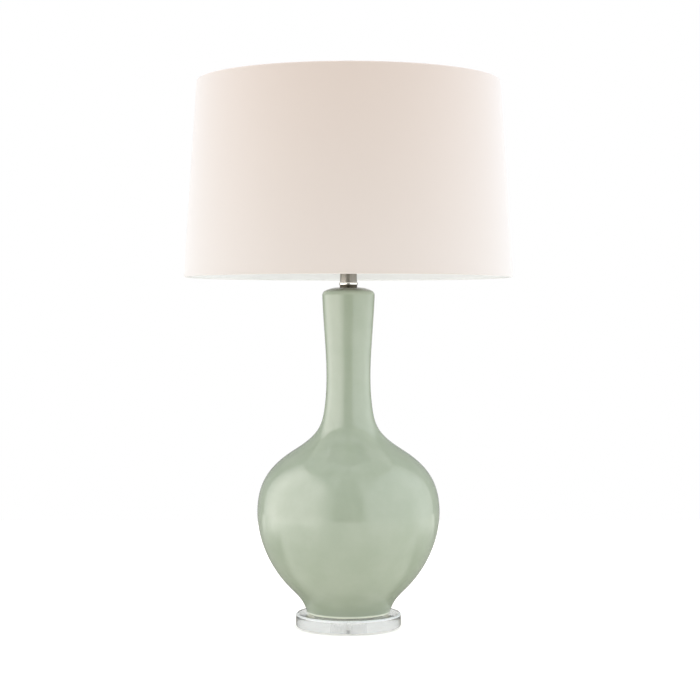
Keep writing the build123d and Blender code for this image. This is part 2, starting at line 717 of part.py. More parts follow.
def shade_liner():
    """The stiff sheet behind the cloth."""
    top = roll_centre(1)[1] - SHEET_CLEAR_OF_RING
    low = roll_centre(-1)[1] + SHEET_CLEAR_OF_RING
    outer, inner = sheet_depth - LINER_SHEET_T, sheet_depth
    outline = Polyline(
        (wall_r(low, outer), low), (wall_r(top, outer), top), (wall_r(top, inner), top),
        (wall_r(low, inner), low), (wall_r(low, outer), low),
    )
    return turned(outline)


def shade_ring(up):
    x, z = roll_centre(up)
    return Pos(0, 0, z) * Torus(x, RING_WIRE_R)


def spider_washer():
    return ring(SPIDER_WASHER_R, STUD_THREAD_R + SLIP_GAP, shade_seat, SPIDER_WASHER_T)


def spider_arms():
    """Three wires from the washer out to the top ring, which is higher."""
    ring_x, ring_z = roll_centre(1)
    low_z = finial_foot + ARM_WIRE_R
    flat_x = ring_x - RING_WIRE_R - ARM_END_FLAT
    bend_x = flat_x - ARM_RISE_RUN
    low, high = [(ARM_FROM_R, 0, low_z), (bend_x, 0, low_z)], [(flat_x, 0, ring_z), (ring_x, 0, ring_z)]
    path = FilletPolyline(*low, *high, radius=ARM_BEND_R)
    arm = wire_sweep(ARM_WIRE_R, path) - Pos(0, 0, ring_z) * Torus(ring_x, RING_WIRE_R + SHAFT_GAP)
    arm = arm.solids().sort_by(SortBy.VOLUME)[-1]
    return Compound([Rot(0, 0, turn) * arm for turn in arm_turns()])


# ---- finial ----


def finial():
    """A turned ball on a foot, bored for the stud."""
    bore_r = STUD_THREAD_R + FINIAL_BORE_GAP
    bore_l = STUD_THREAD_L - SPIDER_WASHER_T + FINIAL_BORE_PAST_STUD
    ball_z = FINIAL_H - FINIAL_BALL_R
    neck_to = ball_z - sqrt(FINIAL_BALL_R**2 - FINIAL_NECK_R**2)
    foot = Polyline((bore_r, 0), (FINIAL_BASE_R, 0), (FINIAL_BASE_R, FINIAL_BASE_H))
    waist = TangentArc(foot @ 1, (FINIAL_NECK_R, FINIAL_NECK_FROM), tangent=(-1, 0.2))
    neck = Line(waist @ 1, (FINIAL_NECK_R, neck_to))
    ball = ThreePointArc(neck @ 1, (FINIAL_BALL_R, ball_z), (0, FINIAL_H))
    bore = Polyline((0, FINIAL_H), (0, bore_l), (bore_r, bore_l), (bore_r, 0))
    return Pos(0, 0, finial_foot) * turned(foot, waist, neck, ball, bore)


PIECES = {
    "acrylic_base": acrylic_base,
    "bumper_pads": bumper_pads,
    "lamp_pipe": lamp_pipe,
    "pipe_washer": pipe_washer,
    "pipe_nut": pipe_nut,
    "vase_body": vase_body,
    "cord_bushing": cord_bushing,
    "neck_rings": neck_rings,
    "lamp_neck": lamp_neck,
    "harp_saddle": harp_saddle,
    "harp_wire": harp_wire,
    "harp_sleeve_left": lambda: harp_sleeve(-1),
    "harp_sleeve_right": lambda: harp_sleeve(1),
    "harp_stud": harp_stud,
    "socket_cap": socket_cap,
    "cap_set_screw": cap_set_screw,
    "socket_shell": socket_shell,
    "socket_liner": socket_liner,
    "socket_body": socket_body,
    "terminal_screws": terminal_screws,
    "screw_shell": screw_shell,
    "centre_contact": centre_contact,
    "switch_shaft": switch_shaft,
    "switch_key": switch_key,
    "bulb_tip": bulb_tip,
    "bulb_insulator": bulb_insulator,
    "bulb_cap": bulb_cap,
    "bulb_glass": bulb_glass,
    "bulb_stem": bulb_stem,
    "bulb_filament": bulb_filament,
    "shade_cover": shade_cover,
    "shade_liner": shade_liner,
    "shade_top_ring": lambda: shade_ring(1),
    "shade_bottom_ring": lambda: shade_ring(-1),
    "spider_washer": spider_washer,
    "spider_arms": spider_arms,
    "finial": finial,
}

os.makedirs("parts", exist_ok=True)
for name, make in PIECES.items():
    export_step(make(), f"parts/{name}.step")
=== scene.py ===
"""A table lamp: a glazed long-necked vase on a clear disc, under a drum shade of pale cloth."""

import json
import logging
from collections.abc import Callable, Iterable
from dataclasses import dataclass, field
from enum import Enum
from math import atan2, cos, degrees, hypot, pi, radians, sin, sqrt, tau

import bpy
from mathutils import Matrix, Vector


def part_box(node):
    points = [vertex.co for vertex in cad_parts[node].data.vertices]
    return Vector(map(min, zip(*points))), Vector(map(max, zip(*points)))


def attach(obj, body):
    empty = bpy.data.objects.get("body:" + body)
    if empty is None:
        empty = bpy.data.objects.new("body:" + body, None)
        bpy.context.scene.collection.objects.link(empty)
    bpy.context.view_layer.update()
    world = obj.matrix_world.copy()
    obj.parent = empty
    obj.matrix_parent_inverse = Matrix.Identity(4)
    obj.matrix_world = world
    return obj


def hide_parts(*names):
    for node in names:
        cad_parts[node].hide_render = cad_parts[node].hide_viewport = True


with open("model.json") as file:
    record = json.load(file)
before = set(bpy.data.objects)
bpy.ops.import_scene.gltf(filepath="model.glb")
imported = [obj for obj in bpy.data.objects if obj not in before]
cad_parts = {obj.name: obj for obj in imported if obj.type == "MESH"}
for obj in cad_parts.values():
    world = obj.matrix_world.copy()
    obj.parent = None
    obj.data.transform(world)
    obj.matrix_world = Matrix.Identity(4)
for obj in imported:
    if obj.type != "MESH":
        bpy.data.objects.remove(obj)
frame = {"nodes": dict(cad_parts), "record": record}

MM = 0.001
MERGE_GAP = 0.002 * MM
SMOOTH_ANGLE = radians(32)
THREAD_ANGLE = radians(75)
THREAD_REACH = 0.1 * MM
PIPE_HOLE_R = 5.2 * MM
ARC_STEPS = 8
EDGE_STEPS = 4
BALL_STEPS = 40

Point = tuple[float, float]
Spot = tuple[float, float, float]
Colour = tuple[float, float, float, float]
Piece = bpy.types.Object
Material = bpy.types.Material
Output = bpy.types.NodeSocket

WHITE: Colour = (1.0, 1.0, 1.0, 1.0)
BLACK: Colour = (0.0, 0.0, 0.0, 1.0)

log = logging.getLogger("table_lamp")


class Body(str, Enum):
    """The parts of the lamp that move by themselves."""

    STAND = "stand"
    SWITCH = "switch"
    BULB = "bulb"
    SLEEVE_LEFT = "sleeve_left"
    SLEEVE_RIGHT = "sleeve_right"
    SWIVEL = "swivel"
    SHADE = "shade"
    FINIAL = "finial_knob"


class Slot(str, Enum):
    """The finishes that the record lists."""

    CLEAR_ACRYLIC = "clear_acrylic"
    CLEAR_PAD = "clear_pad"
    GREEN_GLAZE = "green_glaze"
    BRUSHED_NICKEL = "brushed_nickel"
    NICKEL_WIRE = "nickel_wire"
    ZINC_STEEL = "zinc_steel"
    CONTACT_BRASS = "contact_brass"
    BULB_CAP = "bulb_cap_metal"
    FROSTED_GLASS = "frosted_glass"
    SHADE_CLOTH = "shade_cloth"
    LINER_SHEET = "liner_sheet"


# ---- drawing and turning ----


@dataclass
class Outline:
    """A half section, as points of (radius, height) that run once round it."""

    points: list[Point] = field(default_factory=list)

    def to(self, *points: Point) -> "Outline":
        """Adds straight runs to these points."""
        self.points.extend(points)
        return self

    def rings(self, radius: float, low: float, high: float, count: int) -> "Outline":
        """Adds an upright wall, cut into rings.

        Args:
            radius: The wall's radius.
            low: The height that it starts at.
            high: The height that it ends at.
            count: How many rings it has.

        Returns:
            The outline itself.
        """
        return self.to(*[(radius, low + (high - low) * ring / count) for ring in range(count + 1)])

    def arc(self, centre: Point, radius: float, start: float, end: float,
            steps: int = ARC_STEPS) -> "Outline":
        """Adds an arc.

        Args:
            centre: The arc's middle.
            radius: Its radius.
            start: The angle that it starts at, in degrees up from straight out.
            end: The angle that it ends at.
            steps: How many runs it has.

        Returns:
            The outline itself.
        """
        for step in range(steps + 1):
            angle = radians(start + (end - start) * step / steps)
            self.points.append((centre[0] + radius * cos(angle), centre[1] + radius * sin(angle)))
        return self


def deselect() -> None:
    """Goes back to object mode with nothing selected."""
    if bpy.context.object is not None and bpy.context.object.mode != "OBJECT":
        bpy.ops.object.mode_set(mode="OBJECT")
    bpy.ops.object.select_all(action="DESELECT")


def pick(obj: Piece) -> None:
    """Makes this the one selected object."""
    deselect()
    obj.select_set(True)
    bpy.context.view_layer.objects.active = obj


def smooth(obj: Piece, angle: float = SMOOTH_ANGLE) -> Piece:
    """Shades an object smooth, but for its edges past an angle."""
    pick(obj)
    bpy.ops.object.shade_smooth_by_angle(angle=angle)
    return obj


def drawn(name: str, outline: Outline) -> Piece:
    """Draws an outline as a chain of edges and stays in edit mode with all of it selected."""
    deselect()
    bpy.ops.mesh.primitive_plane_add(size=MM, location=(0, 0, 0))
    obj = bpy.context.object
    obj.name = obj.data.name = name
    bpy.ops.object.mode_set(mode="EDIT")
    bpy.ops.mesh.select_all(action="SELECT")
    bpy.ops.mesh.merge(type="CENTER")
    first = last = outline.points[0]
    bpy.ops.transform.translate(value=(first[0], 0, first[1]))
    for point in [*outline.points[1:], first]:
        move = (point[0] - last[0], 0, point[1] - last[1])
        if hypot(move[0], move[2]) >= MERGE_GAP:
            bpy.ops.mesh.extrude_vertices_move(TRANSFORM_OT_translate={"value": move})
            last = point
    bpy.ops.mesh.select_all(action="SELECT")
    bpy.ops.mesh.remove_doubles(threshold=MERGE_GAP)
    bpy.ops.mesh.select_all(action="SELECT")
    return obj


def closed_up(obj: Piece) -> Piece:
    """Joins a mesh's doubles, clears its loose edges and turns its faces outwards."""
    bpy.ops.mesh.select_all(action="SELECT")
    bpy.ops.mesh.remove_doubles(threshold=MERGE_GAP)
    bpy.ops.mesh.delete_loose(use_verts=True, use_edges=True, use_faces=False)
    bpy.ops.mesh.select_all(action="SELECT")
    bpy.ops.mesh.normals_make_consistent(inside=False)
    bpy.ops.object.mode_set(mode="OBJECT")
    return smooth(obj)


def turned(name: str, outline: Outline, steps: int = 96) -> Piece:
    """Turns a closed outline about the lamp's axis, as on a lathe.

    Args:
        name: The new piece's name.
        outline: Its half section.
        steps: How many facets it has round the axis.

    Returns:
        The piece.
    """
    obj = drawn(name, outline)
    bpy.ops.mesh.spin(steps=steps, angle=tau, center=(0, 0, 0), axis=(0, 0, 1))
    return closed_up(obj)


def curved_strip(name: str, outline: Outline, width: float, middle: float, steps: int = 8) -> Piece:
    """Bends a closed section through part of a turn.

    Args:
        name: The new piece's name.
        outline: Its section, as for a turned piece.
        width: How far round it reaches, in radians.
        middle: The angle of its middle.
        steps: How many facets it has.

    Returns:
        The piece, with both ends closed.
    """
    obj = drawn(name, outline)
    bpy.ops.mesh.edge_face_add()
    bpy.ops.mesh.spin(steps=steps, angle=width, center=(0, 0, 0), axis=(0, 0, 1))
    closed_up(obj)
    angles = [atan2(vertex.co.y, vertex.co.x) for vertex in obj.data.vertices]
    return moved(obj, Matrix.Rotation(middle - (min(angles) + max(angles)) / 2, 4, "Z"))


def moved(obj: Piece, place: Matrix) -> Piece:
    """Puts a piece's mesh in its place, with the object still at the origin."""
    obj.data.transform(place)
    obj.data.update()
    return obj


def copied(obj: Piece, name: str, place: Matrix) -> Piece:
    """Makes another of a piece, with its own mesh, at another place."""
    twin = bpy.data.objects.new(name, obj.data.copy())
    twin.data.name = name
    bpy.context.scene.collection.objects.link(twin)
    return moved(twin, place)


def combined(obj: Piece, tool: Piece, operation: str) -> Piece:
    """Cuts a piece by a tool, or keeps what they share, and removes the tool.

    Args:
        obj: The piece.
        tool: The closed shape that works on it.
        operation: DIFFERENCE or INTERSECT.

    Returns:
        The piece.
    """
    pick(obj)
    modifier = obj.modifiers.new("cut", "BOOLEAN")
    modifier.operation, modifier.object, modifier.solver = operation, tool, "EXACT"
    bpy.ops.object.modifier_apply(modifier=modifier.name)
    bpy.data.objects.remove(tool)
    return smooth(obj)


@dataclass(frozen=True)
class Thread:
    """A rolled screw thread with run-outs, on the points between an inner and an outer radius."""

    low: float
    high: float
    pitch: float
    depth: float
    inner: float
    outer: float

    def cut(self, obj: Piece) -> None:
        """Presses the thread into a turned piece. A depth below 0 swells it instead."""
        for vertex in obj.data.vertices:
            spot = vertex.co
            radius = hypot(spot.x, spot.y)
            in_wall = self.inner + THREAD_REACH < radius < self.outer + THREAD_REACH
            if self.low < spot.z < self.high and in_wall:
                run_out = min(1.0, (spot.z - self.low) / self.pitch, (self.high - spot.z) / self.pitch)
                wave = 0.5 - 0.5 * cos(tau * spot.z / self.pitch - atan2(spot.y, spot.x))
                share = 1 - self.depth * run_out * wave / radius
                spot.x, spot.y = spot.x * share, spot.y * share
        obj.data.update()
        smooth(obj, THREAD_ANGLE)


def outer_side(node: str, gap: float, facing: float = 0.02) -> list[Point]:
    """Reads the outline of a turned node's outside from the front of its mesh.

    Args:
        node: The node's name.
        gap: The least way from one point to the next.
        facing: How far outwards a face has to point to count.

    Returns:
        Points of (radius, height), lowest first.
    """
    mesh = frame["nodes"][node].data
    corners: set[int] = set()
    for face in mesh.polygons:
        out = Vector((face.center.x, face.center.y, 0)).normalized()
        if face.center.y < 0 and face.normal.dot(out) > facing:
            corners.update(face.vertices)
    spots = [mesh.vertices[corner].co for corner in corners]
    points = sorted({(hypot(*spot.xy), spot.z) for spot in spots}, key=lambda point: point[1])
    kept = [points[0]]
    for point in points:
        if hypot(point[0] - kept[-1][0], point[1] - kept[-1][1]) >= gap:
            kept.append(point)
    return kept


def offset_inwards(points: list[Point], wall: float) -> list[Point]:
    """Moves an outline's points in, square to it, by the thickness of a wall."""
    moved_in = []
    for before, point, after in zip(points, points[1:], points[2:]):
        along = Vector((after[0] - before[0], after[1] - before[1])).normalized()
        moved_in.append((point[0] - wall * along.y, point[1] + wall * along.x))
    return moved_in


# ---- finishes ----


def paint(red: float, green: float, blue: float) -> Colour:
    """A colour given as it looks on a screen, 0 to 255, in linear light."""
    parts = [value / 255 for value in (red, green, blue)]
    linear = [part / 12.92 if part <= 0.04045 else ((part + 0.055) / 1.055) ** 2.4 for part in parts]
    return (linear[0], linear[1], linear[2], 1.0)


def scaled(colour: Colour, share: float) -> Colour:
    """A colour made lighter or darker."""
    return (colour[0] * share, colour[1] * share, colour[2] * share, 1.0)


class Nodes:
    """A tree of shader nodes, with short ways to add to it."""

    def __init__(self, tree: bpy.types.NodeTree) -> None:
        """Starts with an empty tree."""
        self.tree = tree
        self.tree.nodes.clear()

    def feed(self, socket: Output, value: object) -> None:
        """Links an output to a socket, or sets the socket to a plain value."""
        if isinstance(value, Output):
            self.tree.links.new(value, socket)
        else:
            socket.default_value = value

    def node(self, kind: str, inputs: dict[object, object], **settings: object) -> bpy.types.Node:
        """Adds a node.

        Args:
            kind: The node's type, without its ShaderNode prefix.
            inputs: Values or outputs for its sockets, by name or number.
            settings: Its own properties.

        Returns:
            The node.
        """
        node = self.tree.nodes.new("ShaderNode" + kind)
        for name, value in settings.items():
            setattr(node, name, value)
        for key, value in inputs.items():
            self.feed(node.inputs[key], value)
        return node

    def math(self, operation: str, *values: object) -> Output:
        """Adds a Math node and returns its result."""
        return self.node("Math", dict(enumerate(values)), operation=operation).outputs[0]

    def times(self, *values: object) -> Output:
        """Multiplies two values."""
        return self.math("MULTIPLY", *values)

    def blend(self, factor: object, low: object, high: object) -> Output:
        """Blends two colours and returns the result."""
        node = self.node("Mix", {}, data_type="RGBA")
        for socket, value in zip((node.inputs[0], node.inputs[6], node.inputs[7]), (factor, low, high)):
            self.feed(socket, value)
        return node.outputs[2]

    def spread(self, value: object, low: float, high: float, to_low: float = 0.0, to_high: float = 1.0,
               soft: bool = False) -> Output:
        """Maps a value from one range to another and clamps it, softly at both ends if asked."""
        kind = "SMOOTHSTEP" if soft else "LINEAR"
        inputs = {0: value, 1: low, 2: high, 3: to_low, 4: to_high}
        return self.node("MapRange", inputs, interpolation_type=kind).outputs[0]


class Look(Nodes):
    """A material: one Principled shader and the nodes that feed it."""

    def __init__(self, name: str) -> None:
        """Starts a material."""
        self.material = bpy.data.materials.new(name)
        self.material.use_nodes = True
        super().__init__(self.material.node_tree)
        self.shader = self.node("BsdfPrincipled", {})
        self.node("OutputMaterial", {"Surface": self.shader.outputs[0]})

    def set(self, **values: object) -> "Look":
        """Sets or links the shader's sockets, named with _ for a space."""
        for name, value in values.items():
            self.feed(self.shader.inputs[name.replace("_", " ")], value)
        return self

    def place(self, scale: Spot = (1, 1, 1), uv: bool = False) -> Output:
        """Returns the piece's own coordinates in metres, times a scale."""
        source = self.node("TexCoord", {}).outputs["UV" if uv else "Object"]
        return self.node("Mapping", {"Vector": source, "Scale": scale}).outputs[0]

    def noise(self, where: object, scale: float, detail: float = 3.0, roughness: float = 0.5) -> Output:
        """Adds a Noise Texture and returns its value."""
        inputs = {"Vector": where, "Scale": scale, "Detail": detail, "Roughness": roughness}
        return self.node("TexNoise", inputs).outputs[0]

    def bump(self, height: object, depth: float, strength: float = 0.5) -> "Look":
        """Raises the surface by a height from 0 to 1, at a depth in metres."""
        node = self.node("Bump", {"Height": height, "Distance": depth, "Strength": strength})
        return self.set(Normal=node.outputs[0])


@dataclass(frozen=True)
class Glaze:
    """Glossy sage glaze: faintly mottled, with a pale painted highlight along the foot's edge and dark
    painted shade at the top.
    """

    colour: Colour = paint(169, 178, 156)
    deep: Colour = paint(163, 173, 150)
    # painted highlight: a pale band along the foot's rounded edge, standing for the floor's reflection in
    # it
    painted_foot_highlight: Colour = paint(240, 244, 224)
    # painted shade: a dark colour on the crown, which stands under the lamp's shade
    painted_crown_shade: Colour = paint(84, 84, 68)
    foot: float = 19.0 * MM
    foot_highlight_height: float = 3.6 * MM
    crown: float = 443.8 * MM
    crown_shade_height: float = 8.5 * MM
    roughness: float = 0.075
    ior: float = 1.52
    mottle_scale: float = 30.0
    speck_scale: float = 1400.0
    speck_share: float = 0.3
    speck_shade: float = 0.85
    ripple_scale: float = 18.0
    ripple_depth: float = 0.3 * MM

    def material(self) -> Material:
        """Makes the material."""
        look = Look("sage_glaze")
        where = look.place()
        mottle = look.spread(look.noise(where, self.mottle_scale, 5.0), 0.35, 0.65)
        speck = look.spread(look.noise(where, self.speck_scale, 1.0), 0.62, 0.75, 0.0, self.speck_share)
        body = look.blend(mottle, self.colour, self.deep)
        body = look.blend(speck, body, scaled(self.deep, self.speck_shade))
        height = look.node("SeparateXYZ", {0: where}).outputs[2]
        # the pale band along the foot's edge is a painted highlight
        foot_highlight_from, foot_highlight_to = self.foot + 0.7 * self.foot_highlight_height, self.foot + self.foot_highlight_height
        edge = look.spread(height, foot_highlight_from, foot_highlight_to, 1.0, 0.0)
        # dark painted shade on the crown, for the shade that the lamp's shade casts on it
        crown_shade = look.spread(height, self.crown - self.crown_shade_height, self.crown, soft=True)
        look.set(Base_Color=look.blend(crown_shade, look.blend(edge, body, self.painted_foot_highlight), self.painted_crown_shade), IOR=self.ior)
        look.set(Roughness=look.spread(mottle, 0.0, 1.0, self.roughness, self.roughness * 1.3))
        return look.bump(look.noise(where, self.ripple_scale, 1.0), self.ripple_depth, 0.3).material


@dataclass(frozen=True)
class BareClay:
    """Unglazed clay where the vase stands."""

    colour: Colour = paint(222, 214, 198)
    dark: Colour = paint(196, 184, 163)
    roughness: float = 0.9
    grain_scale: float = 900.0
    depth: float = 0.15 * MM

    def material(self) -> Material:
        """Makes the material."""
        look = Look("bare_clay")
        grain = look.noise(look.place(), self.grain_scale, 5.0, 0.7)
        look.set(Base_Color=look.blend(grain, self.colour, self.dark), Roughness=self.roughness)
        return look.bump(grain, self.depth, 0.6).material


@dataclass(frozen=True)
class Metal:
    """A bare or plated metal, brushed along or round a piece."""

    name: str
    colour: Colour
    roughness: float
    grain: Spot = (6, 6, 2600)
    depth: float = 0.01 * MM
    streak: float = 0.12
    cloud_scale: float = 180.0
    cloud_share: float = 0.4

    def material(self) -> Material:
        """Makes the material."""
        look = Look(self.name)
        streaks = look.noise(look.place(self.grain), 1.0, roughness=0.6)
        cloud = look.noise(look.place(), self.cloud_scale)
        dark, share = scaled(self.colour, 1 - self.streak), self.cloud_share
        look.set(Base_Color=look.blend(streaks, dark, self.colour), Metallic=1.0)
        uneven = look.math("ADD", look.times(streaks, 1 - share), look.times(cloud, share))
        look.set(Roughness=look.spread(uneven, 0.3, 0.7, self.roughness * 0.8, self.roughness * 1.25))
        return look.bump(streaks, self.depth).material


@dataclass(frozen=True)
class Clear:
    """A clear solid: cast acrylic, or the softer plastic of a pad. A clearness under 1 hazes it."""

    name: str
    colour: Colour
    roughness: float = 0.0
    ior: float = 1.49
    clearness: float = 1.0
    smear_scale: float = 60.0
    smear: float = 0.03

    def material(self) -> Material:
        """Makes the material."""
        look = Look(self.name)
        smear = look.noise(look.place(), self.smear_scale)
        look.set(Base_Color=self.colour, Transmission_Weight=self.clearness, IOR=self.ior)
        look.set(Roughness=look.spread(smear, 0.5, 0.8, self.roughness, self.roughness + self.smear))
        return look.material


@dataclass(frozen=True)
class Woven:
    """Fine off-white plain weave, its threads uneven in thickness and shade, with painted shade that makes
    it darker and warmer towards the top.
    """

    colour: Colour = paint(224, 211, 198)
    shade: Colour = paint(214, 198, 183)
    # painted shade: a darker, warmer tint that grows towards the top of the cloth
    painted_top_shade: Colour = (0.94, 0.87, 0.81, 1.0)
    top_shade_from: float = 470 * MM
    top_shade_to: float = 711 * MM
    pitch: float = 0.55 * MM
    slub_scale: Point = (60, 1500)
    weave_share: float = 0.45
    relief: float = 0.12 * MM
    roughness: float = 0.85
    sheen: float = 1.0
    sheen_roughness: float = 0.75
    gloss: float = 0.8

    def material(self) -> Material:
        """Makes the material. It reads the cloth's own UV map, in metres."""
        look = Look("woven_cloth")
        axes = look.node("SeparateXYZ", {0: look.place(uv=True)})
        waves = [look.math("SINE", look.times(axes.outputs[i], pi / self.pitch)) for i in (0, 1)]
        warp, weft = [look.math("ABSOLUTE", wave) for wave in waves]
        over = look.spread(look.times(*waves), -0.2, 0.2)
        weave = look.node("Mix", {0: over, 2: warp, 3: weft}, data_type="FLOAT").outputs[0]
        ways = [look.place((*scale, 1), uv=True) for scale in (self.slub_scale, self.slub_scale[::-1])]
        slub = look.times(look.math("ADD", *[look.noise(way, 1.0, roughness=0.6) for way in ways]), 0.5)
        share = self.weave_share
        depth = look.math("ADD", look.times(weave, share), look.times(slub, 1 - share))
        thread = look.blend(look.spread(depth, 0.25, 0.7), self.shade, self.colour)
        height = look.node("SeparateXYZ", {0: look.place()}).outputs[2]
        # painted shade: the cloth darkens and warms towards the top, for how the light falls there
        tint = look.blend(look.spread(height, self.top_shade_from, self.top_shade_to), WHITE, self.painted_top_shade)
        painted_top_shade = look.node("Mix", {0: 1.0, 6: thread, 7: tint}, data_type="RGBA", blend_type="MULTIPLY")
        look.set(Base_Color=painted_top_shade.outputs[2], Roughness=self.roughness, Specular_IOR_Level=self.gloss)
        look.set(Sheen_Weight=self.sheen, Sheen_Roughness=self.sheen_roughness)
        return look.bump(depth, self.relief, 0.6).material


@dataclass(frozen=True)
class Plastic:
    """A moulded or extruded plastic, card or paint, with a fine grain."""

    name: str
    colour: Colour
    roughness: float
    grain: float = 1500.0
    depth: float = 0.01 * MM
    subsurface: float = 0.0
    subsurface_depth: float = 2 * MM
    cloud_scale: float = 45.0
    cloud_shade: float = 0.94

    def material(self) -> Material:
        """Makes the material."""
        look = Look(self.name)
        cloud = look.noise(look.place(), self.cloud_scale)
        look.set(Base_Color=look.blend(cloud, scaled(self.colour, self.cloud_shade), self.colour))
        look.set(Roughness=look.spread(cloud, 0.3, 0.7, self.roughness * 0.9, self.roughness * 1.1))
        if self.subsurface:
            look.set(Subsurface_Weight=self.subsurface, Subsurface_Scale=self.subsurface_depth)
        return look.bump(look.noise(look.place(), self.grain), self.depth).material


class Finishes:
    """Every material of the lamp, made once."""

    def __init__(self) -> None:
        """Makes the materials."""
        self.glaze = Glaze().material()
        self.clay = BareClay().material()
        self.acrylic = Clear("cast_acrylic", paint(234, 236, 234), clearness=0.9).material()
        self.edge = Clear("acrylic_edge", paint(250, 251, 250), 0.3, clearness=0.25).material()
        self.milled = Clear("milled_acrylic", paint(250, 251, 250), 0.25, 6.0).material()
        self.pad = Clear("soft_pad", paint(238, 242, 240), 0.12, 1.42).material()
        self.nickel = Metal("brushed_nickel", paint(196, 192, 184), 0.3).material()
        # the drawn tube's lengthwise streaks are real; its colour is painted darker than the nickel, for
        # the shade under the lamp's shade
        self.drawn_shaded_nickel = Metal("drawn_shaded_nickel", paint(160, 155, 145), 0.3, (520, 520, 5), 0.05 * MM,
                                  streak=0.5).material()
        self.bright_nickel = Metal("bright_nickel", paint(242, 239, 230), 0.1).material()
        # painted shade: a dark copy of the nickel for the lower neck ring, standing for the shade under the
        # tube's band
        self.painted_shade_nickel = Metal("painted_shade_nickel", paint(78, 73, 62), 0.34).material()
        self.wire = Metal("nickel_wire", paint(204, 200, 193), 0.24, (900, 900, 30)).material()
        self.zinc = Metal("zinc_steel", paint(188, 192, 196), 0.32, (260, 260, 260)).material()
        self.brass = Metal("contact_brass", paint(214, 178, 98), 0.26, (300, 300, 300)).material()
        self.cap = Metal("bulb_cap_metal", paint(212, 212, 212), 0.24, (200, 200, 200)).material()
        self.cloth = Woven().material()
        self.sheet = Plastic("liner_sheet", paint(250, 249, 246), 0.4, 1200.0).material()
        self.moulding = Plastic("black_moulding", paint(38, 36, 35), 0.4).material()
        self.card = Plastic("waxed_card", paint(96, 84, 70), 0.6, 700.0, 0.05 * MM).material()
        self.enamel = Plastic("white_wire", paint(236, 235, 230), 0.4).material()
        self.frosted = Plastic("frosted_glass", paint(244, 242, 236), 0.3, 800.0, 0.004 * MM,
                               subsurface=0.2).material()


def dress(obj: Piece, finish: Material) -> Piece:
    """Gives a piece or a node one material all over."""
    obj.data.materials.clear()
    obj.data.materials.append(finish)
    return obj


def second_finish(obj: Piece, finish: Material, where: Callable[[object], bool]) -> None:
    """Gives some of a piece's faces another material.

    Args:
        obj: The piece, with its first material.
        finish: The other material.
        where: Says whether a face takes it.
    """
    obj.data.materials.append(finish)
    for face in obj.data.polygons:
        if where(face):
            face.material_index = len(obj.data.materials) - 1


def mount(obj: Piece, body: Body, slot: Slot, *nodes: str) -> Piece:
    """Puts a piece on the body that carries it, in the stead of these nodes."""
    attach(obj, body.value)
    if nodes:
        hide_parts(*nodes)
    log.info("%s rides on %s", obj.name, body.value)
    return obj


@dataclass
class SubAssembly:
    """A group of pieces that are made together."""

    finishes: Finishes

    def dress_nodes(self, finish: Material, *nodes: str) -> None:
        """Gives a finish to nodes whose own shape stays."""
        for node in nodes:
            dress(frame["nodes"][node], finish)


# ---- sub-assemblies ----


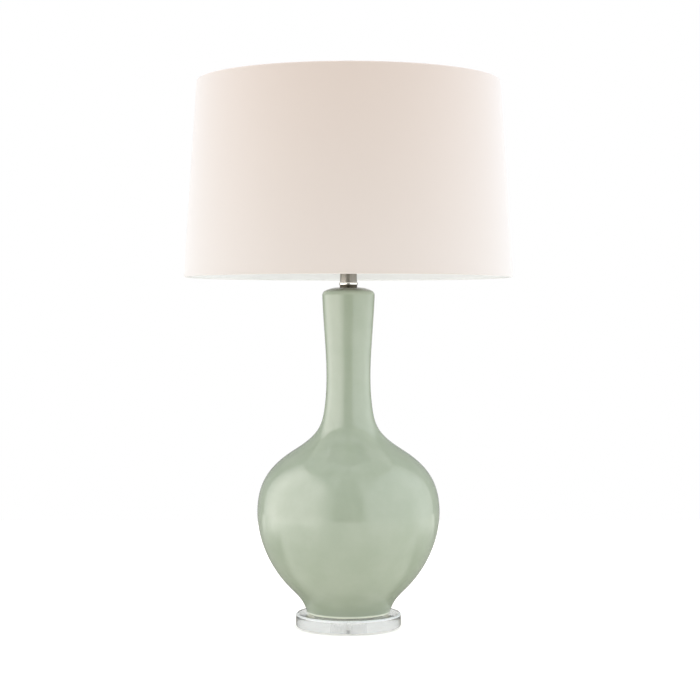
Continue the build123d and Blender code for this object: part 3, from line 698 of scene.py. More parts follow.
@dataclass
class Base(SubAssembly):
    """The clear disc, its pads and the clamp of the pipe under it."""

    edge_round: float = 2.4 * MM
    recess_r: float = 16.0 * MM
    recess_depth: float = 8.6 * MM
    flat_normal: float = 0.99
    facets: int = 192
    pad_r: float = 5.0 * MM
    pad_foot_r: float = 4.3 * MM
    pad_round: float = 0.5 * MM
    pad_circle_r: float = 52.0 * MM
    pad_count: int = 4
    pad_start: float = 45.0
    pad_facets: int = 48
    washer_r: float = 12.7 * MM
    nut_across: float = 14.3 * MM
    nut_bore_r: float = 5.0 * MM
    nut_corner: float = 0.5 * MM
    nut_blank_over: float = 0.05 * MM

    def build(self) -> None:
        """Makes the disc, its pads and the clamp."""
        self.disc()
        self.pads()
        self.washer()
        self.nut()

    def disc(self) -> None:
        """The clear disc, with round edges, the recess and the pipe's hole."""
        low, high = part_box("acrylic_base")
        rim, edge = high.x, self.edge_round
        ceiling, shoulder = low.z + self.recess_depth, high.z - edge
        outline = Outline().to((PIPE_HOLE_R, ceiling), (PIPE_HOLE_R, high.z))
        outline.arc((rim - edge, shoulder), edge, 90, 0)
        outline.arc((rim - edge, low.z + edge), edge, 0, -90)
        outline.to((self.recess_r, low.z), (self.recess_r, ceiling))
        disc, looks = turned("disc", outline, self.facets), self.finishes
        dress(disc, looks.acrylic)
        second_finish(disc, looks.milled, lambda face: hypot(*face.center.xy) < self.recess_r + MERGE_GAP)
        second_finish(disc, looks.edge, lambda face: (
            face.center.z > shoulder and abs(face.normal.z) < self.flat_normal))
        mount(disc, Body.STAND, Slot.CLEAR_ACRYLIC, "acrylic_base")

    def pads(self) -> None:
        """The soft pads, each a low cone with a rounded foot."""
        low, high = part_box("bumper_pads")
        outline = Outline().to((0, high.z), (self.pad_r, high.z))
        outline.arc((self.pad_foot_r - self.pad_round, low.z + self.pad_round), self.pad_round, 0, -90)
        outline.to((0, low.z))
        pad = dress(turned("pad_model", outline, self.pad_facets), self.finishes.pad)
        for number in range(self.pad_count):
            angle = radians(self.pad_start + 360 / self.pad_count * number)
            spot = Matrix.Translation((self.pad_circle_r * cos(angle), self.pad_circle_r * sin(angle), 0))
            piece = copied(pad, f"pad_{number + 1}", spot)
            mount(piece, Body.STAND, Slot.CLEAR_PAD, "bumper_pads")
        bpy.data.objects.remove(pad)

    def washer(self) -> None:
        """The washer over the nut, its edge rounded by the punch."""
        low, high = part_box("pipe_washer")
        soft = (high.z - low.z) / 3
        outline = Outline().to((PIPE_HOLE_R, low.z))
        outline.arc((self.washer_r - soft, low.z + soft), soft, -90, 0, EDGE_STEPS)
        outline.to((self.washer_r, high.z), (PIPE_HOLE_R, high.z))
        washer = dress(turned("clamp_washer", outline), self.finishes.zinc)
        mount(washer, Body.STAND, Slot.ZINC_STEEL, "pipe_washer")

    def nut(self) -> None:
        """The hexagonal nut, its corners turned down on both faces."""
        low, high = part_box("pipe_nut")
        hexagon_r, corner = self.nut_across / sqrt(3), self.nut_corner
        blank_r = hexagon_r + self.nut_blank_over
        turned_r = blank_r - 2 * corner
        outline = Outline().to((self.nut_bore_r, low.z), (turned_r, low.z), (blank_r, low.z + corner))
        outline.to((blank_r, high.z - corner), (turned_r, high.z), (self.nut_bore_r, high.z))
        nut = turned("clamp_nut", outline)
        bpy.ops.mesh.primitive_cylinder_add(vertices=6, radius=hexagon_r, depth=4 * (high.z - low.z))
        hexagon = bpy.context.object
        turn = Matrix.Rotation(self.corner_turn("pipe_nut", hexagon), 4, "Z")
        combined(nut, moved(hexagon, Matrix.Translation((0, 0, low.z)) @ turn), "INTERSECT")
        mount(dress(nut, self.finishes.zinc), Body.STAND, Slot.ZINC_STEEL, "pipe_nut")

    @staticmethod
    def corner_turn(node: str, prism: Piece) -> float:
        """How far to turn a prism so that its corners meet a node's."""
        corners = [max(mesh.vertices, key=lambda v: round(hypot(v.co.x, v.co.y), 6)).co
                   for mesh in (frame["nodes"][node].data, prism.data)]
        return atan2(corners[0].y, corners[0].x) - atan2(corners[1].y, corners[1].x)


@dataclass
class Stem(SubAssembly):
    """The threaded pipe through the lamp, with the spun neck and its rings."""

    pipe_r: float = 4.95 * MM
    bore_r: float = 3.2 * MM
    pitch: float = 0.94 * MM
    thread_depth: float = 0.45 * MM
    thread_l: float = 14.0 * MM
    rings_per_turn: int = 8
    pipe_facets: int = 48
    radius: float = 11.0 * MM
    wall: float = 1.2 * MM
    band_out: float = 1.2 * MM
    band_h: float = 3.4 * MM
    band_round: float = 0.8 * MM
    ring_r: float = 11.4 * MM
    ring_t: float = 3.2 * MM
    spigot_gap: float = 0.25 * MM
    spigot_h: float = 1.2 * MM
    soften: float = 0.35 * MM
    facets: int = 128

    def build(self) -> None:
        """Makes the pipe, the tube and its two rings."""
        self.pipe()
        self.tube()
        low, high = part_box("neck_rings")
        # the lower ring's dark nickel is painted shade
        self.plate("neck_ring_lower", low.z, 1, self.finishes.painted_shade_nickel)
        self.plate("neck_ring_upper", high.z, -1, self.finishes.nickel)

    def pipe(self) -> None:
        """The pipe, with a thread cut at both ends."""
        low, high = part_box("lamp_pipe")
        rings = round(self.thread_l / self.pitch * self.rings_per_turn)
        ends = ((low.z, low.z + self.thread_l), (high.z - self.thread_l, high.z))
        outline = Outline()
        for end in ends:
            outline.rings(self.pipe_r, *end, rings)
        outline.to((self.bore_r, high.z), (self.bore_r, low.z))
        pipe = turned("threaded_pipe", outline, self.pipe_facets)
        for end in ends:
            Thread(*end, self.pitch, self.thread_depth, self.bore_r, self.pipe_r).cut(pipe)
        mount(dress(pipe, self.finishes.zinc), Body.STAND, Slot.ZINC_STEEL, "lamp_pipe")

    def tube(self) -> None:
        """The tube, with a flat band at its foot that has rounded edges."""
        low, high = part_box("lamp_neck")
        inner, soft, turn = self.radius - self.wall, self.soften, self.band_round
        rim, top = self.radius + self.band_out - turn, low.z + self.band_h
        outline = Outline().arc((rim, low.z + turn), turn, -90, 0).arc((rim, top - turn), turn, 0, 90)
        outline.to((self.radius, top)).arc((self.radius - soft, high.z - soft), soft, 0, 90, EDGE_STEPS)
        outline.to((inner, high.z), (inner, low.z))
        # the tube's darker nickel is partly painted shade
        tube = dress(turned("neck_tube", outline, self.facets), self.finishes.drawn_shaded_nickel)
        second_finish(tube, self.finishes.bright_nickel, lambda face: face.center.z < top)
        mount(tube, Body.STAND, Slot.BRUSHED_NICKEL, "lamp_neck")

    def plate(self, name: str, face: float, up: int, finish: Material) -> None:
        """One ring, with the spigot that centres the tube.

        Args:
            name: The piece's name.
            face: The height of its flat face.
            up: 1 where its spigot points up, -1 where it points down.
            finish: Its metal.
        """
        rim, soft, tip = self.ring_r, self.soften, self.ring_t + self.spigot_h
        spigot_r = self.radius - self.wall - self.spigot_gap
        outline = Outline().to((PIPE_HOLE_R, 0))
        outline.arc((rim - soft, soft), soft, -90, 0, EDGE_STEPS)
        outline.arc((rim - soft, self.ring_t - soft), soft, 0, 90, EDGE_STEPS)
        outline.to((spigot_r, self.ring_t), (spigot_r, tip), (PIPE_HOLE_R, tip))
        outline.points = [(radius, face + up * height) for radius, height in outline.points]
        ring = dress(turned(name, outline, self.facets), finish)
        mount(ring, Body.STAND, Slot.BRUSHED_NICKEL, "neck_rings")


@dataclass
class Vase(SubAssembly):
    """The glazed vase: a full belly, a slim neck and a small rolled lip."""

    point_gap: float = 2.2 * MM
    edge_gap: float = 0.45 * MM
    edge_h: float = 2.7 * MM
    wall: float = 5.0 * MM
    foot_ring_in_r: float = 45.9 * MM
    foot_hollow: float = 3.0 * MM
    floor: float = 9.0 * MM
    crown_h: float = 6.5 * MM
    crown_flat_r: float = 22.0 * MM
    floor_in: float = 0.5 * MM
    seat_r: float = 12.5 * MM
    lip_h: float = 12.0 * MM
    cord_hole_r: float = 5.0 * MM
    cord_hole_facets: int = 48
    drill_walls: float = 5
    down_normal: float = -0.95
    facets: int = 256

    def build(self) -> None:
        """Makes the vase, hollow, with the cord's hole at the back."""
        low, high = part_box("vase_body")
        outline = Outline(self.outside(low.z, high.z))
        ceiling, floor = high.z - self.crown_h, low.z + self.floor
        inner = offset_inwards(outline.points[::2], self.wall)
        inner = [point for point in inner if floor < point[1] < ceiling - self.wall]
        outline.to((self.seat_r, high.z), (PIPE_HOLE_R, high.z), (PIPE_HOLE_R, ceiling))
        outline.to((self.crown_flat_r, ceiling), *reversed(inner), (inner[0][0] - self.floor_in, floor))
        outline.to((PIPE_HOLE_R, floor), (PIPE_HOLE_R, low.z + self.foot_hollow))
        outline.to((self.foot_ring_in_r, low.z + self.foot_hollow), (self.foot_ring_in_r, low.z))
        vase = turned("vase", outline, self.facets)
        combined(vase, self.cord_drill(), "DIFFERENCE")
        dress(vase, self.finishes.glaze)
        second_finish(vase, self.finishes.clay, lambda face: self.is_bare(face, low.z))
        mount(vase, Body.STAND, Slot.GREEN_GLAZE, "vase_body")

    def is_bare(self, face: bpy.types.MeshPolygon, foot: float) -> bool:
        """Whether a face is one that the glaze is wiped from: under the foot and in its hollow."""
        under = face.center.z < foot + self.foot_hollow + MERGE_GAP and face.normal.z < self.down_normal
        in_ring = hypot(*face.center.xy) < self.foot_ring_in_r + MERGE_GAP
        return under or (in_ring and face.center.z < foot + self.floor)

    def outside(self, foot: float, top: float) -> list[Point]:
        """The outline of the outer side, with close points at the foot's edge and the lip."""
        gap = self.edge_gap
        fine = outer_side("vase_body", gap)
        edge = [point for point in fine if point[1] < foot + self.edge_h]
        lip = [(r, z) for r, z in fine if z > top - self.lip_h and r > self.seat_r + MERGE_GAP]
        low, high = edge[-1][1] + gap, lip[0][1] - gap
        middle = [point for point in outer_side("vase_body", self.point_gap) if low < point[1] < high]
        return [*edge, *middle, *lip]

    def cord_drill(self) -> Piece:
        """The shape of the cord's hole, square to the wall."""
        inlet = next(mount for mount in frame["record"]["mounts"] if mount["name"] == "cord_inlet")
        bpy.ops.mesh.primitive_cylinder_add(vertices=self.cord_hole_facets, radius=self.cord_hole_r,
                                            depth=self.drill_walls * self.wall)
        turn = Vector(inlet["axis"]).to_track_quat("Z", "Y").to_matrix().to_4x4()
        return moved(bpy.context.object, Matrix.Translation(inlet["pos_m"]) @ turn)


@dataclass
class Harp(SubAssembly):
    """The wire hoop, its saddle, its sleeves and the swivel that carries the shade."""

    rim_w: float = 1.4 * MM
    waist_in: float = 0.3 * MM
    wall: float = 0.9 * MM
    soften: float = 0.3 * MM
    facets: int = 64

    def build(self) -> None:
        """Makes the sleeves and dresses the rest."""
        self.dress_nodes(self.finishes.wire, "harp_saddle", "harp_wire", "harp_stud")
        self.sleeve("harp_sleeve_left", Body.SLEEVE_LEFT)
        self.sleeve("harp_sleeve_right", Body.SLEEVE_RIGHT)

    def sleeve(self, node: str, body: Body) -> None:
        """One sleeve, rolled to a rim at both ends."""
        low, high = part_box(node)
        outer = (high.x - low.x) / 2
        inner, soft, waist = outer - self.wall, self.soften, outer - self.waist_in
        outline = Outline().to((inner, low.z)).arc((outer - soft, low.z + soft), soft, -90, 0, EDGE_STEPS)
        outline.to((outer, low.z + self.rim_w), (waist, low.z + 2 * self.rim_w))
        outline.to((waist, high.z - 2 * self.rim_w), (outer, high.z - self.rim_w))
        outline.arc((outer - soft, high.z - soft), soft, 0, 90, EDGE_STEPS).to((inner, high.z))
        sleeve = turned(f"{body.value}_tube", outline, self.facets)
        moved(sleeve, Matrix.Translation(((low.x + high.x) / 2, 0, 0)))
        mount(dress(sleeve, self.finishes.wire), body, Slot.NICKEL_WIRE, node)


@dataclass
class Socket(SubAssembly):
    """The socket and its turn switch."""

    thread_in: float = 1.8 * MM
    thread_pitch: float = 3.63 * MM
    thread_out: float = 0.7 * MM
    wall: float = 0.5 * MM
    hole_r: float = 6.0 * MM
    mouth: float = 0.5 * MM
    rings: int = 60
    facets: int = 72

    def build(self) -> None:
        """Makes the threaded shell and dresses the rest."""
        looks = self.finishes
        self.dress_nodes(looks.nickel, "socket_cap", "socket_shell", "switch_key")
        self.dress_nodes(looks.brass, "terminal_screws", "centre_contact", "switch_shaft")
        self.dress_nodes(looks.zinc, "cap_set_screw")
        self.dress_nodes(looks.card, "socket_liner")
        self.dress_nodes(looks.moulding, "socket_body")
        self.screw_shell()

    def screw_shell(self) -> None:
        """The brass shell that takes the bulb, its thread rolled outwards."""
        low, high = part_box("screw_shell")
        outer, inner, floor = high.x, high.x - self.wall, low.z + self.wall
        outline = Outline().to((self.hole_r, low.z)).rings(outer, low.z, high.z, self.rings)
        outline.rings(inner, high.z, floor, self.rings).to((self.hole_r, floor))
        shell = turned("threaded_shell", outline, self.facets)
        foot, head = floor + self.thread_in, high.z - self.mouth
        Thread(foot, head, self.thread_pitch, -self.thread_out, self.hole_r, outer).cut(shell)
        mount(dress(shell, self.finishes.brass), Body.STAND, Slot.CONTACT_BRASS, "screw_shell")


@dataclass
class Bulb(SubAssembly):
    """The bulb: a frosted ball on a threaded cap."""

    glass_wall: float = 0.8 * MM
    neck_r: float = 12.4 * MM
    ball_r: float = 30.0 * MM
    length: float = 108.0 * MM
    neck_to: float = 25.5 * MM
    cap_r: float = 13.1 * MM
    cap_wall: float = 0.35 * MM
    cap_low_r: float = 9.5 * MM
    cap_cone_h: float = 3.0 * MM
    thread_pitch: float = 3.63 * MM
    thread_depth: float = 0.7 * MM
    thread_low: float = 0.5 * MM
    thread_high: float = 1.5 * MM
    rings: int = 64
    steps: int = 24

    def build(self) -> None:
        """Makes the glass and the cap, and dresses the rest."""
        self.glass()
        self.cap()
        self.dress_nodes(self.finishes.frosted, "bulb_stem")
        self.dress_nodes(self.finishes.zinc, "bulb_tip", "bulb_filament")
        self.dress_nodes(self.finishes.moulding, "bulb_insulator")

    def glass(self) -> None:
        """The glass: a neck that flares in one hollow arc into the ball."""
        low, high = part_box("bulb_glass")
        ball_z, neck_z = high.z - self.ball_r, high.z - self.length + self.neck_to
        drop = ball_z - neck_z
        flare_r = (self.neck_r**2 + drop**2 - self.ball_r**2) / (2 * (self.ball_r - self.neck_r))
        turn = degrees(atan2(drop, self.neck_r + flare_r))
        centre, wall = (self.neck_r + flare_r, neck_z), self.glass_wall
        outline = Outline().to((self.neck_r, low.z)).arc(centre, flare_r, 180, 180 - turn, self.steps)
        outline.arc((0, ball_z), self.ball_r, -turn, 90, BALL_STEPS)
        outline.arc((0, ball_z), self.ball_r - wall, 90, -turn, self.steps)
        outline.arc(centre, flare_r + wall, 180 - turn, 180, self.steps // 2)
        outline.to((self.neck_r - wall, low.z))
        glass = dress(turned("bulb_envelope", outline), self.finishes.frosted)
        mount(glass, Body.BULB, Slot.FROSTED_GLASS, "bulb_glass")

    def cap(self) -> None:
        """The metal cap, with its screw thread rolled in."""
        low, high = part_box("bulb_cap")
        shoulder = low.z + self.cap_cone_h
        inner = self.cap_r - self.cap_wall - self.thread_depth
        outline = Outline().to((self.cap_low_r, low.z)).rings(self.cap_r, shoulder, high.z, self.rings)
        outline.to((inner, high.z), (inner, shoulder), (self.cap_low_r, low.z + self.cap_wall))
        cap = turned("bulb_screw_cap", outline)
        foot, head = shoulder + self.thread_low, high.z - self.thread_high
        Thread(foot, head, self.thread_pitch, self.thread_depth, inner, self.cap_r).cut(cap)
        mount(dress(cap, self.finishes.cap), Body.BULB, Slot.BULB_CAP, "bulb_cap")


@dataclass
class Shade(SubAssembly):
    """The drum shade: cloth rolled round two rings, a stiff lining, and the arms that hold it."""

    low_r: float = 214.0 * MM
    top_r: float = 197.0 * MM
    cloth_t: float = 0.6 * MM
    sheet_t: float = 0.6 * MM
    glue_gap: float = 0.05 * MM
    wire_r: float = 1.55 * MM
    wire_gap: float = 0.25 * MM
    hem_w: float = 9.0 * MM
    hem_gap: float = 0.05 * MM
    wrap: float = 20.0
    clear_of_ring: float = 2.2 * MM
    seam_w: float = 12.0 * MM
    seam_t: float = 0.5 * MM
    tape_t: float = 0.25 * MM
    tape_from: float = 125.0
    tape_lap: float = 2.0 * MM
    weld_size: Spot = (2.6 * MM, 2.3 * MM, 1.3 * MM)
    weld_cut: float = -0.1 * MM
    weld_r: float = 10.0 * MM
    weld_facets: int = 24
    weld_angle: float = radians(60)
    arms: int = 3
    first_arm: float = 90.0
    facets: int = 256
    wall_runs: int = 24
    hem_steps: int = 14
    seam_turn: float = 60.0
    seam_steps: int = 6
    lap_gap: float = 1.0 * MM

    def build(self) -> None:
        """Makes the cloth, its seam, the lining and the welds, and dresses the metal."""
        low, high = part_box("shade_cover")
        self.low, self.high = low.z, high.z
        self.roll = self.wire_r + self.wire_gap + self.cloth_t
        self.foot, self.head = self.low + self.roll, self.high - self.roll
        self.lining()
        self.cloth(self.seam(), self.tape())
        self.dress_nodes(self.finishes.enamel, "shade_top_ring", "shade_bottom_ring")
        self.dress_nodes(self.finishes.wire, "spider_washer", "spider_arms")
        self.welds()

    def wall_r(self, height: float, depth: float = 0.0) -> float:
        """The shade's radius at a height, at a depth in from its outer face."""
        share = (height - self.low) / (self.high - self.low)
        return self.low_r + share * (self.top_r - self.low_r) - depth

    def wall(self, heights: Iterable[float], depth: float = 0.0) -> list[Point]:
        """The wall's points at these heights."""
        return [(self.wall_r(height, depth), height) for height in heights]

    def roll_centre(self, up: int) -> Point:
        """The middle of the top hem's roll, or of the bottom one's where up is -1."""
        height = self.head if up > 0 else self.foot
        return (self.wall_r(height) - self.roll, height)

    def hem(self, up: int) -> Outline:
        """The cloth round one ring wire, from its outer face to its inner one."""
        centre, core = self.roll_centre(up), self.roll - self.cloth_t
        end = centre[1] - up * self.hem_w
        depth = self.cloth_t + self.glue_gap + self.sheet_t + self.hem_gap
        turn = up * (180 + self.wrap)
        outline = Outline().arc(centre, self.roll, 0, turn, self.hem_steps)
        outline.to((self.wall_r(end, depth + self.cloth_t), end), (self.wall_r(end, depth), end))
        return outline.arc(centre, core, turn, 0, self.hem_steps)

    def cloth(self, *added: Piece) -> None:
        """The cloth, with both edges rolled in. It is cut as part of a flat ring."""
        length, runs = self.head - self.foot, self.wall_runs
        rises = [self.foot + length * step / runs for step in range(1, runs)]
        outline = Outline().to(*self.wall(rises), *self.hem(1).points)
        outline.to(*self.wall(reversed(rises), self.cloth_t), *reversed(self.hem(-1).points))
        cloth = dress(turned("cloth_cover", outline, self.facets), self.finishes.cloth)
        self.unroll(cloth)
        mount(cloth, Body.SHADE, Slot.SHADE_CLOTH, "shade_cover")

    def slant(self) -> float:
        """The way from hem to hem along the cone, with what is rolled in."""
        roll_in = self.roll * pi / 2 + self.hem_w
        return hypot(self.high - self.low, self.low_r - self.top_r) + 2 * roll_in

    def flat_area(self) -> float:
        """The cloth's area before it was rolled."""
        return (tau * (self.low_r + self.top_r) / 2 + self.seam_w) * self.slant()

    def flat_size(self) -> Point:
        """The width and length of the flat piece that the cloth is cut from."""
        cone = hypot(self.high - self.low, self.low_r - self.top_r) / (self.low_r - self.top_r)
        outer = self.low_r * cone + (self.slant() - (self.high - self.low)) / 2
        half_turn = pi / cone
        return (2 * outer * sin(half_turn), self.slant() + (outer - self.slant()) * (1 - cos(half_turn)))

    def unroll(self, cloth: Piece) -> None:
        """Gives the cloth a UV map in metres, round and up, that starts at the back seam."""
        layer = cloth.data.uv_layers.new(name="cloth")
        middle = (self.low_r + self.top_r) / 2
        for face in cloth.data.polygons:
            around = [self.angle(cloth.data.vertices[index].co) for index in face.vertices]
            crosses = max(around) - min(around) > pi
            for loop, index, angle in zip(face.loop_indices, face.vertices, around):
                turn = angle + tau if crosses and angle < pi else angle
                layer.data[loop].uv = (turn * middle, cloth.data.vertices[index].co.z)

    @staticmethod
    def angle(point: Vector) -> float:
        """The angle of a point about the axis, from the back seam."""
        return atan2(point.x, -point.y) + pi

    def seam(self) -> Piece:
        """The lap of the cloth at the back, glued down from hem to hem."""
        outline = Outline()
        for up, thick in ((1, self.seam_t), (-1, 0.0)):
            for end in (-up, up):
                turn = (-self.seam_turn, 0) if end < 0 else (0, self.seam_turn)
                outline.arc(self.roll_centre(end), self.roll + thick, *turn[::up], self.seam_steps)
        width = self.seam_w / self.low_r
        seam = dress(curved_strip("cloth_seam", outline, width, pi / 2), self.finishes.cloth)
        self.unroll(seam)
        return mount(seam, Body.SHADE, Slot.SHADE_CLOTH, "shade_cover")

    def tape(self) -> Piece:
        """The white tape that covers the cut edge of the bottom hem."""
        depth = 2 * self.cloth_t + self.glue_gap + self.sheet_t + self.hem_gap
        end = self.foot + self.hem_w
        sides = []
        for out in (self.glue_gap, self.glue_gap + self.tape_t):
            side = Outline().arc(self.roll_centre(-1), self.roll + out, -self.tape_from, -180 - self.wrap)
            sides.append(side.to(*self.wall((end, end + self.tape_lap), depth + out)))
        outline = sides[0].to(*reversed(sides[1].points))
        tape = dress(turned("hem_tape", outline, self.facets), self.finishes.sheet)
        return mount(tape, Body.SHADE, Slot.LINER_SHEET)

    def lining(self) -> None:
        """The stiff white sheet behind the cloth, and its lap."""
        low, high = self.foot + self.clear_of_ring, self.head - self.clear_of_ring
        out = self.cloth_t + self.glue_gap
        inner = out + self.sheet_t
        rises = [low + (high - low) * step / self.wall_runs for step in range(self.wall_runs + 1)]
        outline = Outline().to(*self.wall(rises, out), *self.wall(reversed(rises), inner))
        sheet = dress(turned("lining_sheet", outline, self.facets), self.finishes.sheet)
        mount(sheet, Body.SHADE, Slot.LINER_SHEET, "shade_liner")
        foot, head = self.foot + self.hem_w + self.lap_gap, self.head - self.hem_w - self.lap_gap
        section = Outline().to(*self.wall((foot, head), inner))
        section.to(*self.wall((head, foot), inner + self.sheet_t))
        lap = curved_strip("lining_lap", section, self.seam_w / self.low_r, pi / 2)
        mount(dress(lap, self.finishes.sheet), Body.SHADE, Slot.LINER_SHEET, "shade_liner")

    def welds(self) -> None:
        """The drops of weld that hold each arm to the washer."""
        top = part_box("spider_washer")[1].z
        facets = self.weld_facets
        bpy.ops.mesh.primitive_uv_sphere_add(segments=facets, ring_count=facets // 2, radius=1.0)
        drop = bpy.context.object
        moved(drop, Matrix.Diagonal((*self.weld_size, 1)))
        bpy.ops.object.mode_set(mode="EDIT")
        bpy.ops.mesh.select_all(action="SELECT")
        bpy.ops.mesh.bisect(plane_co=(0, 0, self.weld_cut), plane_no=(0, 0, 1), clear_inner=True,
                            use_fill=True)
        bpy.ops.object.mode_set(mode="OBJECT")
        dress(smooth(drop, self.weld_angle), self.finishes.wire)
        out = Matrix.Translation((self.weld_r, 0, top))
        for number in range(self.arms):
            turn = Matrix.Rotation(radians(self.first_arm + 360 / self.arms * number), 4, "Z")
            mount(copied(drop, f"arm_weld_{number + 1}", turn @ out), Body.SHADE, Slot.NICKEL_WIRE)
        bpy.data.objects.remove(drop)


@dataclass
class Finial(SubAssembly):
    """The knob that holds the shade down: a turned ball on a foot."""

    foot_r: float = 6.6 * MM
    foot_h: float = 1.8 * MM
    neck_r: float = 4.6 * MM
    ball_r: float = 8.6 * MM
    bore_r: float = 3.2 * MM
    bore_l: float = 9.8 * MM
    soften: float = 0.4 * MM
    waist_steps: int = 10

    def build(self) -> None:
        """Makes the knob."""
        low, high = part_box("finial")
        soft, shoulder = self.soften, self.foot_r - self.soften
        ball_z, waist = high.z - self.ball_r, shoulder - self.neck_r
        outline = Outline().to((self.bore_r, low.z))
        outline.arc((shoulder, low.z + soft), soft, -90, 0, EDGE_STEPS)
        outline.arc((shoulder, low.z + self.foot_h - soft), soft, 0, 90, EDGE_STEPS)
        outline.arc((shoulder, low.z + self.foot_h + waist), waist, -90, -180, self.waist_steps)
        join = degrees(atan2(sqrt(self.ball_r**2 - self.neck_r**2), self.neck_r))
        outline.arc((0, ball_z), self.ball_r, -join, 90, BALL_STEPS)
        outline.to((0, low.z + self.bore_l), (self.bore_r, low.z + self.bore_l))
        knob = dress(turned("finial_ball", outline), self.finishes.nickel)
        mount(knob, Body.FINIAL, Slot.BRUSHED_NICKEL, "finial")


# ---- camera, light and room ----


@dataclass
class Camera:
    """A camera where the photograph's stood."""

    sensor: float = 36.0
    focal_px: float = 1790.0
    frame_px: float = 700.0
    distance: float = 2334 * MM
    height: float = 407 * MM
    aside: float = 2.0 * MM
    tilt: float = 1.10

    def build(self) -> None:
        """Makes the camera and looks through it."""
        data = bpy.data.cameras.new("camera")
        data.sensor_width = self.sensor
        data.lens = self.sensor * self.focal_px / self.frame_px
        camera = bpy.data.objects.new("camera", data)
        bpy.context.scene.collection.objects.link(camera)
        camera.location = (self.aside, -self.distance, self.height)
        camera.rotation_euler = (radians(90 - self.tilt), 0, 0)
        bpy.context.scene.camera = camera


@dataclass(frozen=True)
class Panel:
    """A lamp panel at one side of the room, by the angles that it fills.

    Angles round are in degrees from the front, on the panel's own side. A top is a height over a distance.
    """

    side: int
    near: float
    near_soft: float
    far: float
    tint: Colour
    light: float
    gloss_tint: Colour
    gloss: float
    edge_soft: float
    top: float = 2.3
    top_soft: float = 1.3

    def across(self, nodes: Nodes, around: Output) -> Output:
        """How much of the panel shows at an angle round, 0 to 1."""
        turn = nodes.times(around, self.side)
        near = nodes.spread(turn, self.near, self.near + self.near_soft, soft=True)
        far = nodes.spread(turn, self.far - self.edge_soft, self.far, 1.0, 0.0, soft=True)
        return nodes.times(near, far)

    def mask(self, nodes: Nodes, around: Output, axes: bpy.types.Node) -> Output:
        """How much of the panel shows in a direction, 0 to 1."""
        aside = nodes.math("MAXIMUM", nodes.times(axes.outputs[0], self.side), 0.01)
        rise = nodes.math("DIVIDE", axes.outputs[2], aside)
        top = nodes.spread(rise, self.top - self.top_soft, self.top, 1.0, 0.0, soft=True)
        return nodes.times(self.across(nodes, around), top)


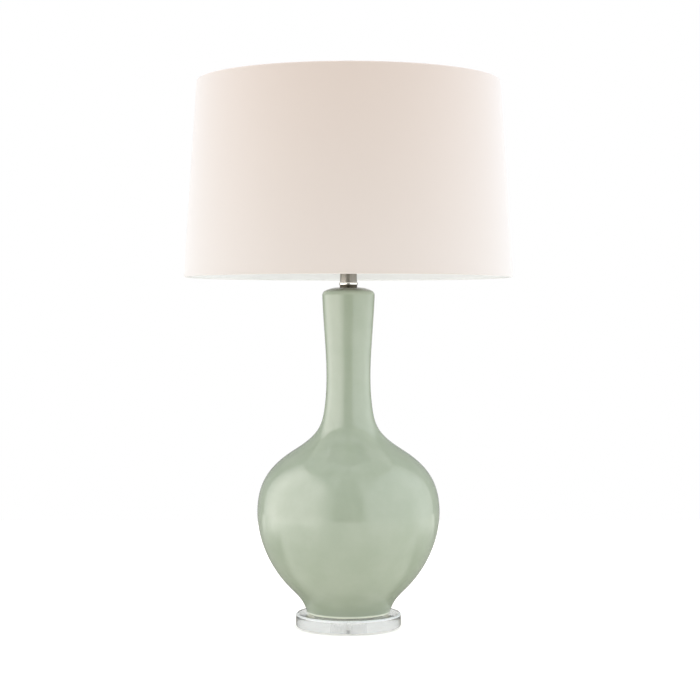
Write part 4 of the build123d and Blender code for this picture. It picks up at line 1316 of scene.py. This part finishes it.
@dataclass
class Studio:
    """A white room with a soft panel and a dark flag on each side, and a dark mat behind the lamp.

    The flags and the mat show only in mirrors.
    """

    floor_size: float = 2.4
    floor_colour: Colour = (0.97, 0.94, 0.88, 1.0)
    floor_lift: float = 0.42
    floor_lift_through: float = 0.75
    spill_from: float = 0.15
    spill_to: float = 1.05
    spill_near: float = 96.0
    spill_far: float = 126.0
    fill: float = 0.75
    ceiling: float = 1.5
    ceiling_from: float = 0.77
    ceiling_to: float = 0.94
    front: float = 16.0
    front_to: float = 40.0
    front_fill: float = 0.3
    front_light: float = 0.25
    mat_front: float = -0.05
    mat_soft: float = 0.06
    mat_from: float = 0.2
    mat_to: float = 0.7
    flag_near: float = 130.0
    flag_far: float = 176.0
    flag_light: float = 0.35
    flag_soft: float = 6.0
    panels: tuple[Panel, ...] = (
        Panel(-1, 14.0, 34.0, 138.0, (0.98, 1.03, 1.1, 1.0), 1.6, (1.0, 0.95, 0.94, 1.0), 3.8, 36.0),
        Panel(1, 15.0, 14.0, 138.0, (0.97, 1.03, 1.12, 1.0), 1.6, (0.97, 0.98, 1.02, 1.0), 2.0, 32.0),
    )

    def build(self) -> None:
        """Makes the floor and the world."""
        self.floor()
        self.world()

    @staticmethod
    def around(nodes: Nodes, axes: bpy.types.Node) -> Output:
        """The angle round from the front, in degrees, positive to the right."""
        back = nodes.times(axes.outputs[1], -1.0)
        return nodes.math("DEGREES", nodes.math("ARCTAN2", axes.outputs[0], back))

    def floor(self) -> None:
        """A floor that is white to the camera and still takes the lamp's shadow."""
        bpy.ops.mesh.primitive_plane_add(size=self.floor_size, location=(0, 0, 0))
        floor = bpy.context.object
        floor.name = "floor"
        look = Look("floor")
        axes = look.node("SeparateXYZ", {0: look.place()})
        around = self.around(look, axes)
        reach = look.node("VectorMath", {0: look.place()}, operation="LENGTH").outputs["Value"]
        turn = look.math("ABSOLUTE", around)
        ahead = look.spread(turn, self.spill_near, self.spill_far, 1.0, 0.0, soft=True)
        spill = look.times(look.spread(reach, self.spill_from, self.spill_to), ahead)
        path = look.node("LightPath", {})
        plain = scaled(WHITE, self.floor_lift)
        gloss: object = plain
        for panel in self.panels:
            mask = look.times(panel.across(look, around), spill)
            gloss = look.blend(mask, gloss, scaled(panel.gloss_tint, panel.gloss - self.fill))
        mirror = look.math("SUBTRACT", path.outputs["Is Glossy Ray"], path.outputs["Is Transmission Ray"])
        behind = look.spread(axes.outputs[1], self.mat_front, self.mat_front + self.mat_soft, soft=True)
        aside = look.math("ABSOLUTE", axes.outputs[0])
        mat = look.times(behind, look.spread(aside, self.mat_from, self.mat_to, 1.0, 0.0, soft=True))
        dark = look.math("MAXIMUM", self.flags(look, around), mat)
        flag = look.times(dark, look.math("MAXIMUM", mirror, 0.0))
        glow = look.blend(path.outputs["Is Glossy Ray"], plain, gloss)
        glow = look.blend(path.outputs["Is Transmission Ray"], glow, scaled(WHITE, self.floor_lift_through))
        glow = look.blend(flag, glow, BLACK)
        look.set(Base_Color=look.blend(flag, self.floor_colour, scaled(self.floor_colour, self.flag_light)))
        look.set(Roughness=1.0, Specular_IOR_Level=0.0)
        look.set(Emission_Color=glow, Emission_Strength=self.seen(look, path))
        dress(floor, look.material)

    @staticmethod
    def seen(nodes: Nodes, path: bpy.types.Node) -> Output:
        """1 for a ray from the camera, straight, through glass or by a mirror, otherwise 0."""
        seen = nodes.math("MAXIMUM", path.outputs["Is Camera Ray"], path.outputs["Is Transmission Ray"])
        return nodes.math("MAXIMUM", seen, path.outputs["Is Glossy Ray"])

    def world(self) -> None:
        """A world that is white to the camera and to mirrors, with a lamp panel on each side."""
        world = bpy.data.worlds.new("room")
        bpy.context.scene.world = world
        world.use_nodes = True
        nodes = Nodes(world.node_tree)
        axes = nodes.node("SeparateXYZ", {0: nodes.node("TexCoord", {}).outputs["Generated"]})
        around = self.around(nodes, axes)
        turn = nodes.math("ABSOLUTE", around)
        ahead = nodes.spread(turn, self.front, self.front_to, self.front_fill, self.fill)
        above = nodes.spread(axes.outputs[2], self.ceiling_from, self.ceiling_to, soft=True)
        light: object = nodes.blend(above, ahead, scaled(WHITE, self.ceiling))
        front = nodes.spread(turn, self.front, self.front + self.flag_soft, 1.0, 0.0)
        gloss: object = nodes.blend(front, WHITE, scaled(WHITE, self.front_light))
        gloss = nodes.blend(self.flags(nodes, around), gloss, scaled(WHITE, self.flag_light))
        for panel in self.panels:
            mask = panel.mask(nodes, around, axes)
            light = nodes.blend(mask, light, scaled(panel.tint, panel.light))
            gloss = nodes.blend(mask, gloss, scaled(panel.gloss_tint, panel.gloss))
        path = nodes.node("LightPath", {})
        white = nodes.math("MAXIMUM", path.outputs["Is Camera Ray"], path.outputs["Is Transmission Ray"])
        colour = nodes.blend(path.outputs["Is Glossy Ray"], light, gloss)
        ground = nodes.node("Background", {0: nodes.blend(white, colour, WHITE), 1: 1.0})
        nodes.node("OutputWorld", {0: ground.outputs[0]})

    def flags(self, nodes: Nodes, around: Output) -> Output:
        """Where the dark flags at both sides of the backdrop show, 0 to 1."""
        turn = nodes.math("ABSOLUTE", around)
        near = nodes.spread(turn, self.flag_near, self.flag_near + self.flag_soft, soft=True)
        far = nodes.spread(turn, self.flag_far, self.flag_far + self.flag_soft, 1.0, 0.0, soft=True)
        return nodes.times(near, far)


def main() -> None:
    """Builds the lamp from the table up, then the room round it."""
    logging.basicConfig(level=logging.INFO, format="%(message)s")
    bpy.context.scene.view_settings.view_transform = "Standard"
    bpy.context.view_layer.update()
    finishes = Finishes()
    Camera().build()
    parts: list[Callable[[Finishes], SubAssembly]] = [Base, Stem, Vase, Harp, Socket, Bulb, Shade, Finial]
    for part in parts:
        part(finishes).build()
        log.info("%s is done", part.__name__)
    dress(frame["nodes"]["cord_bushing"], finishes.pad)
    Studio().build()


if __name__ == "__main__":
    main()
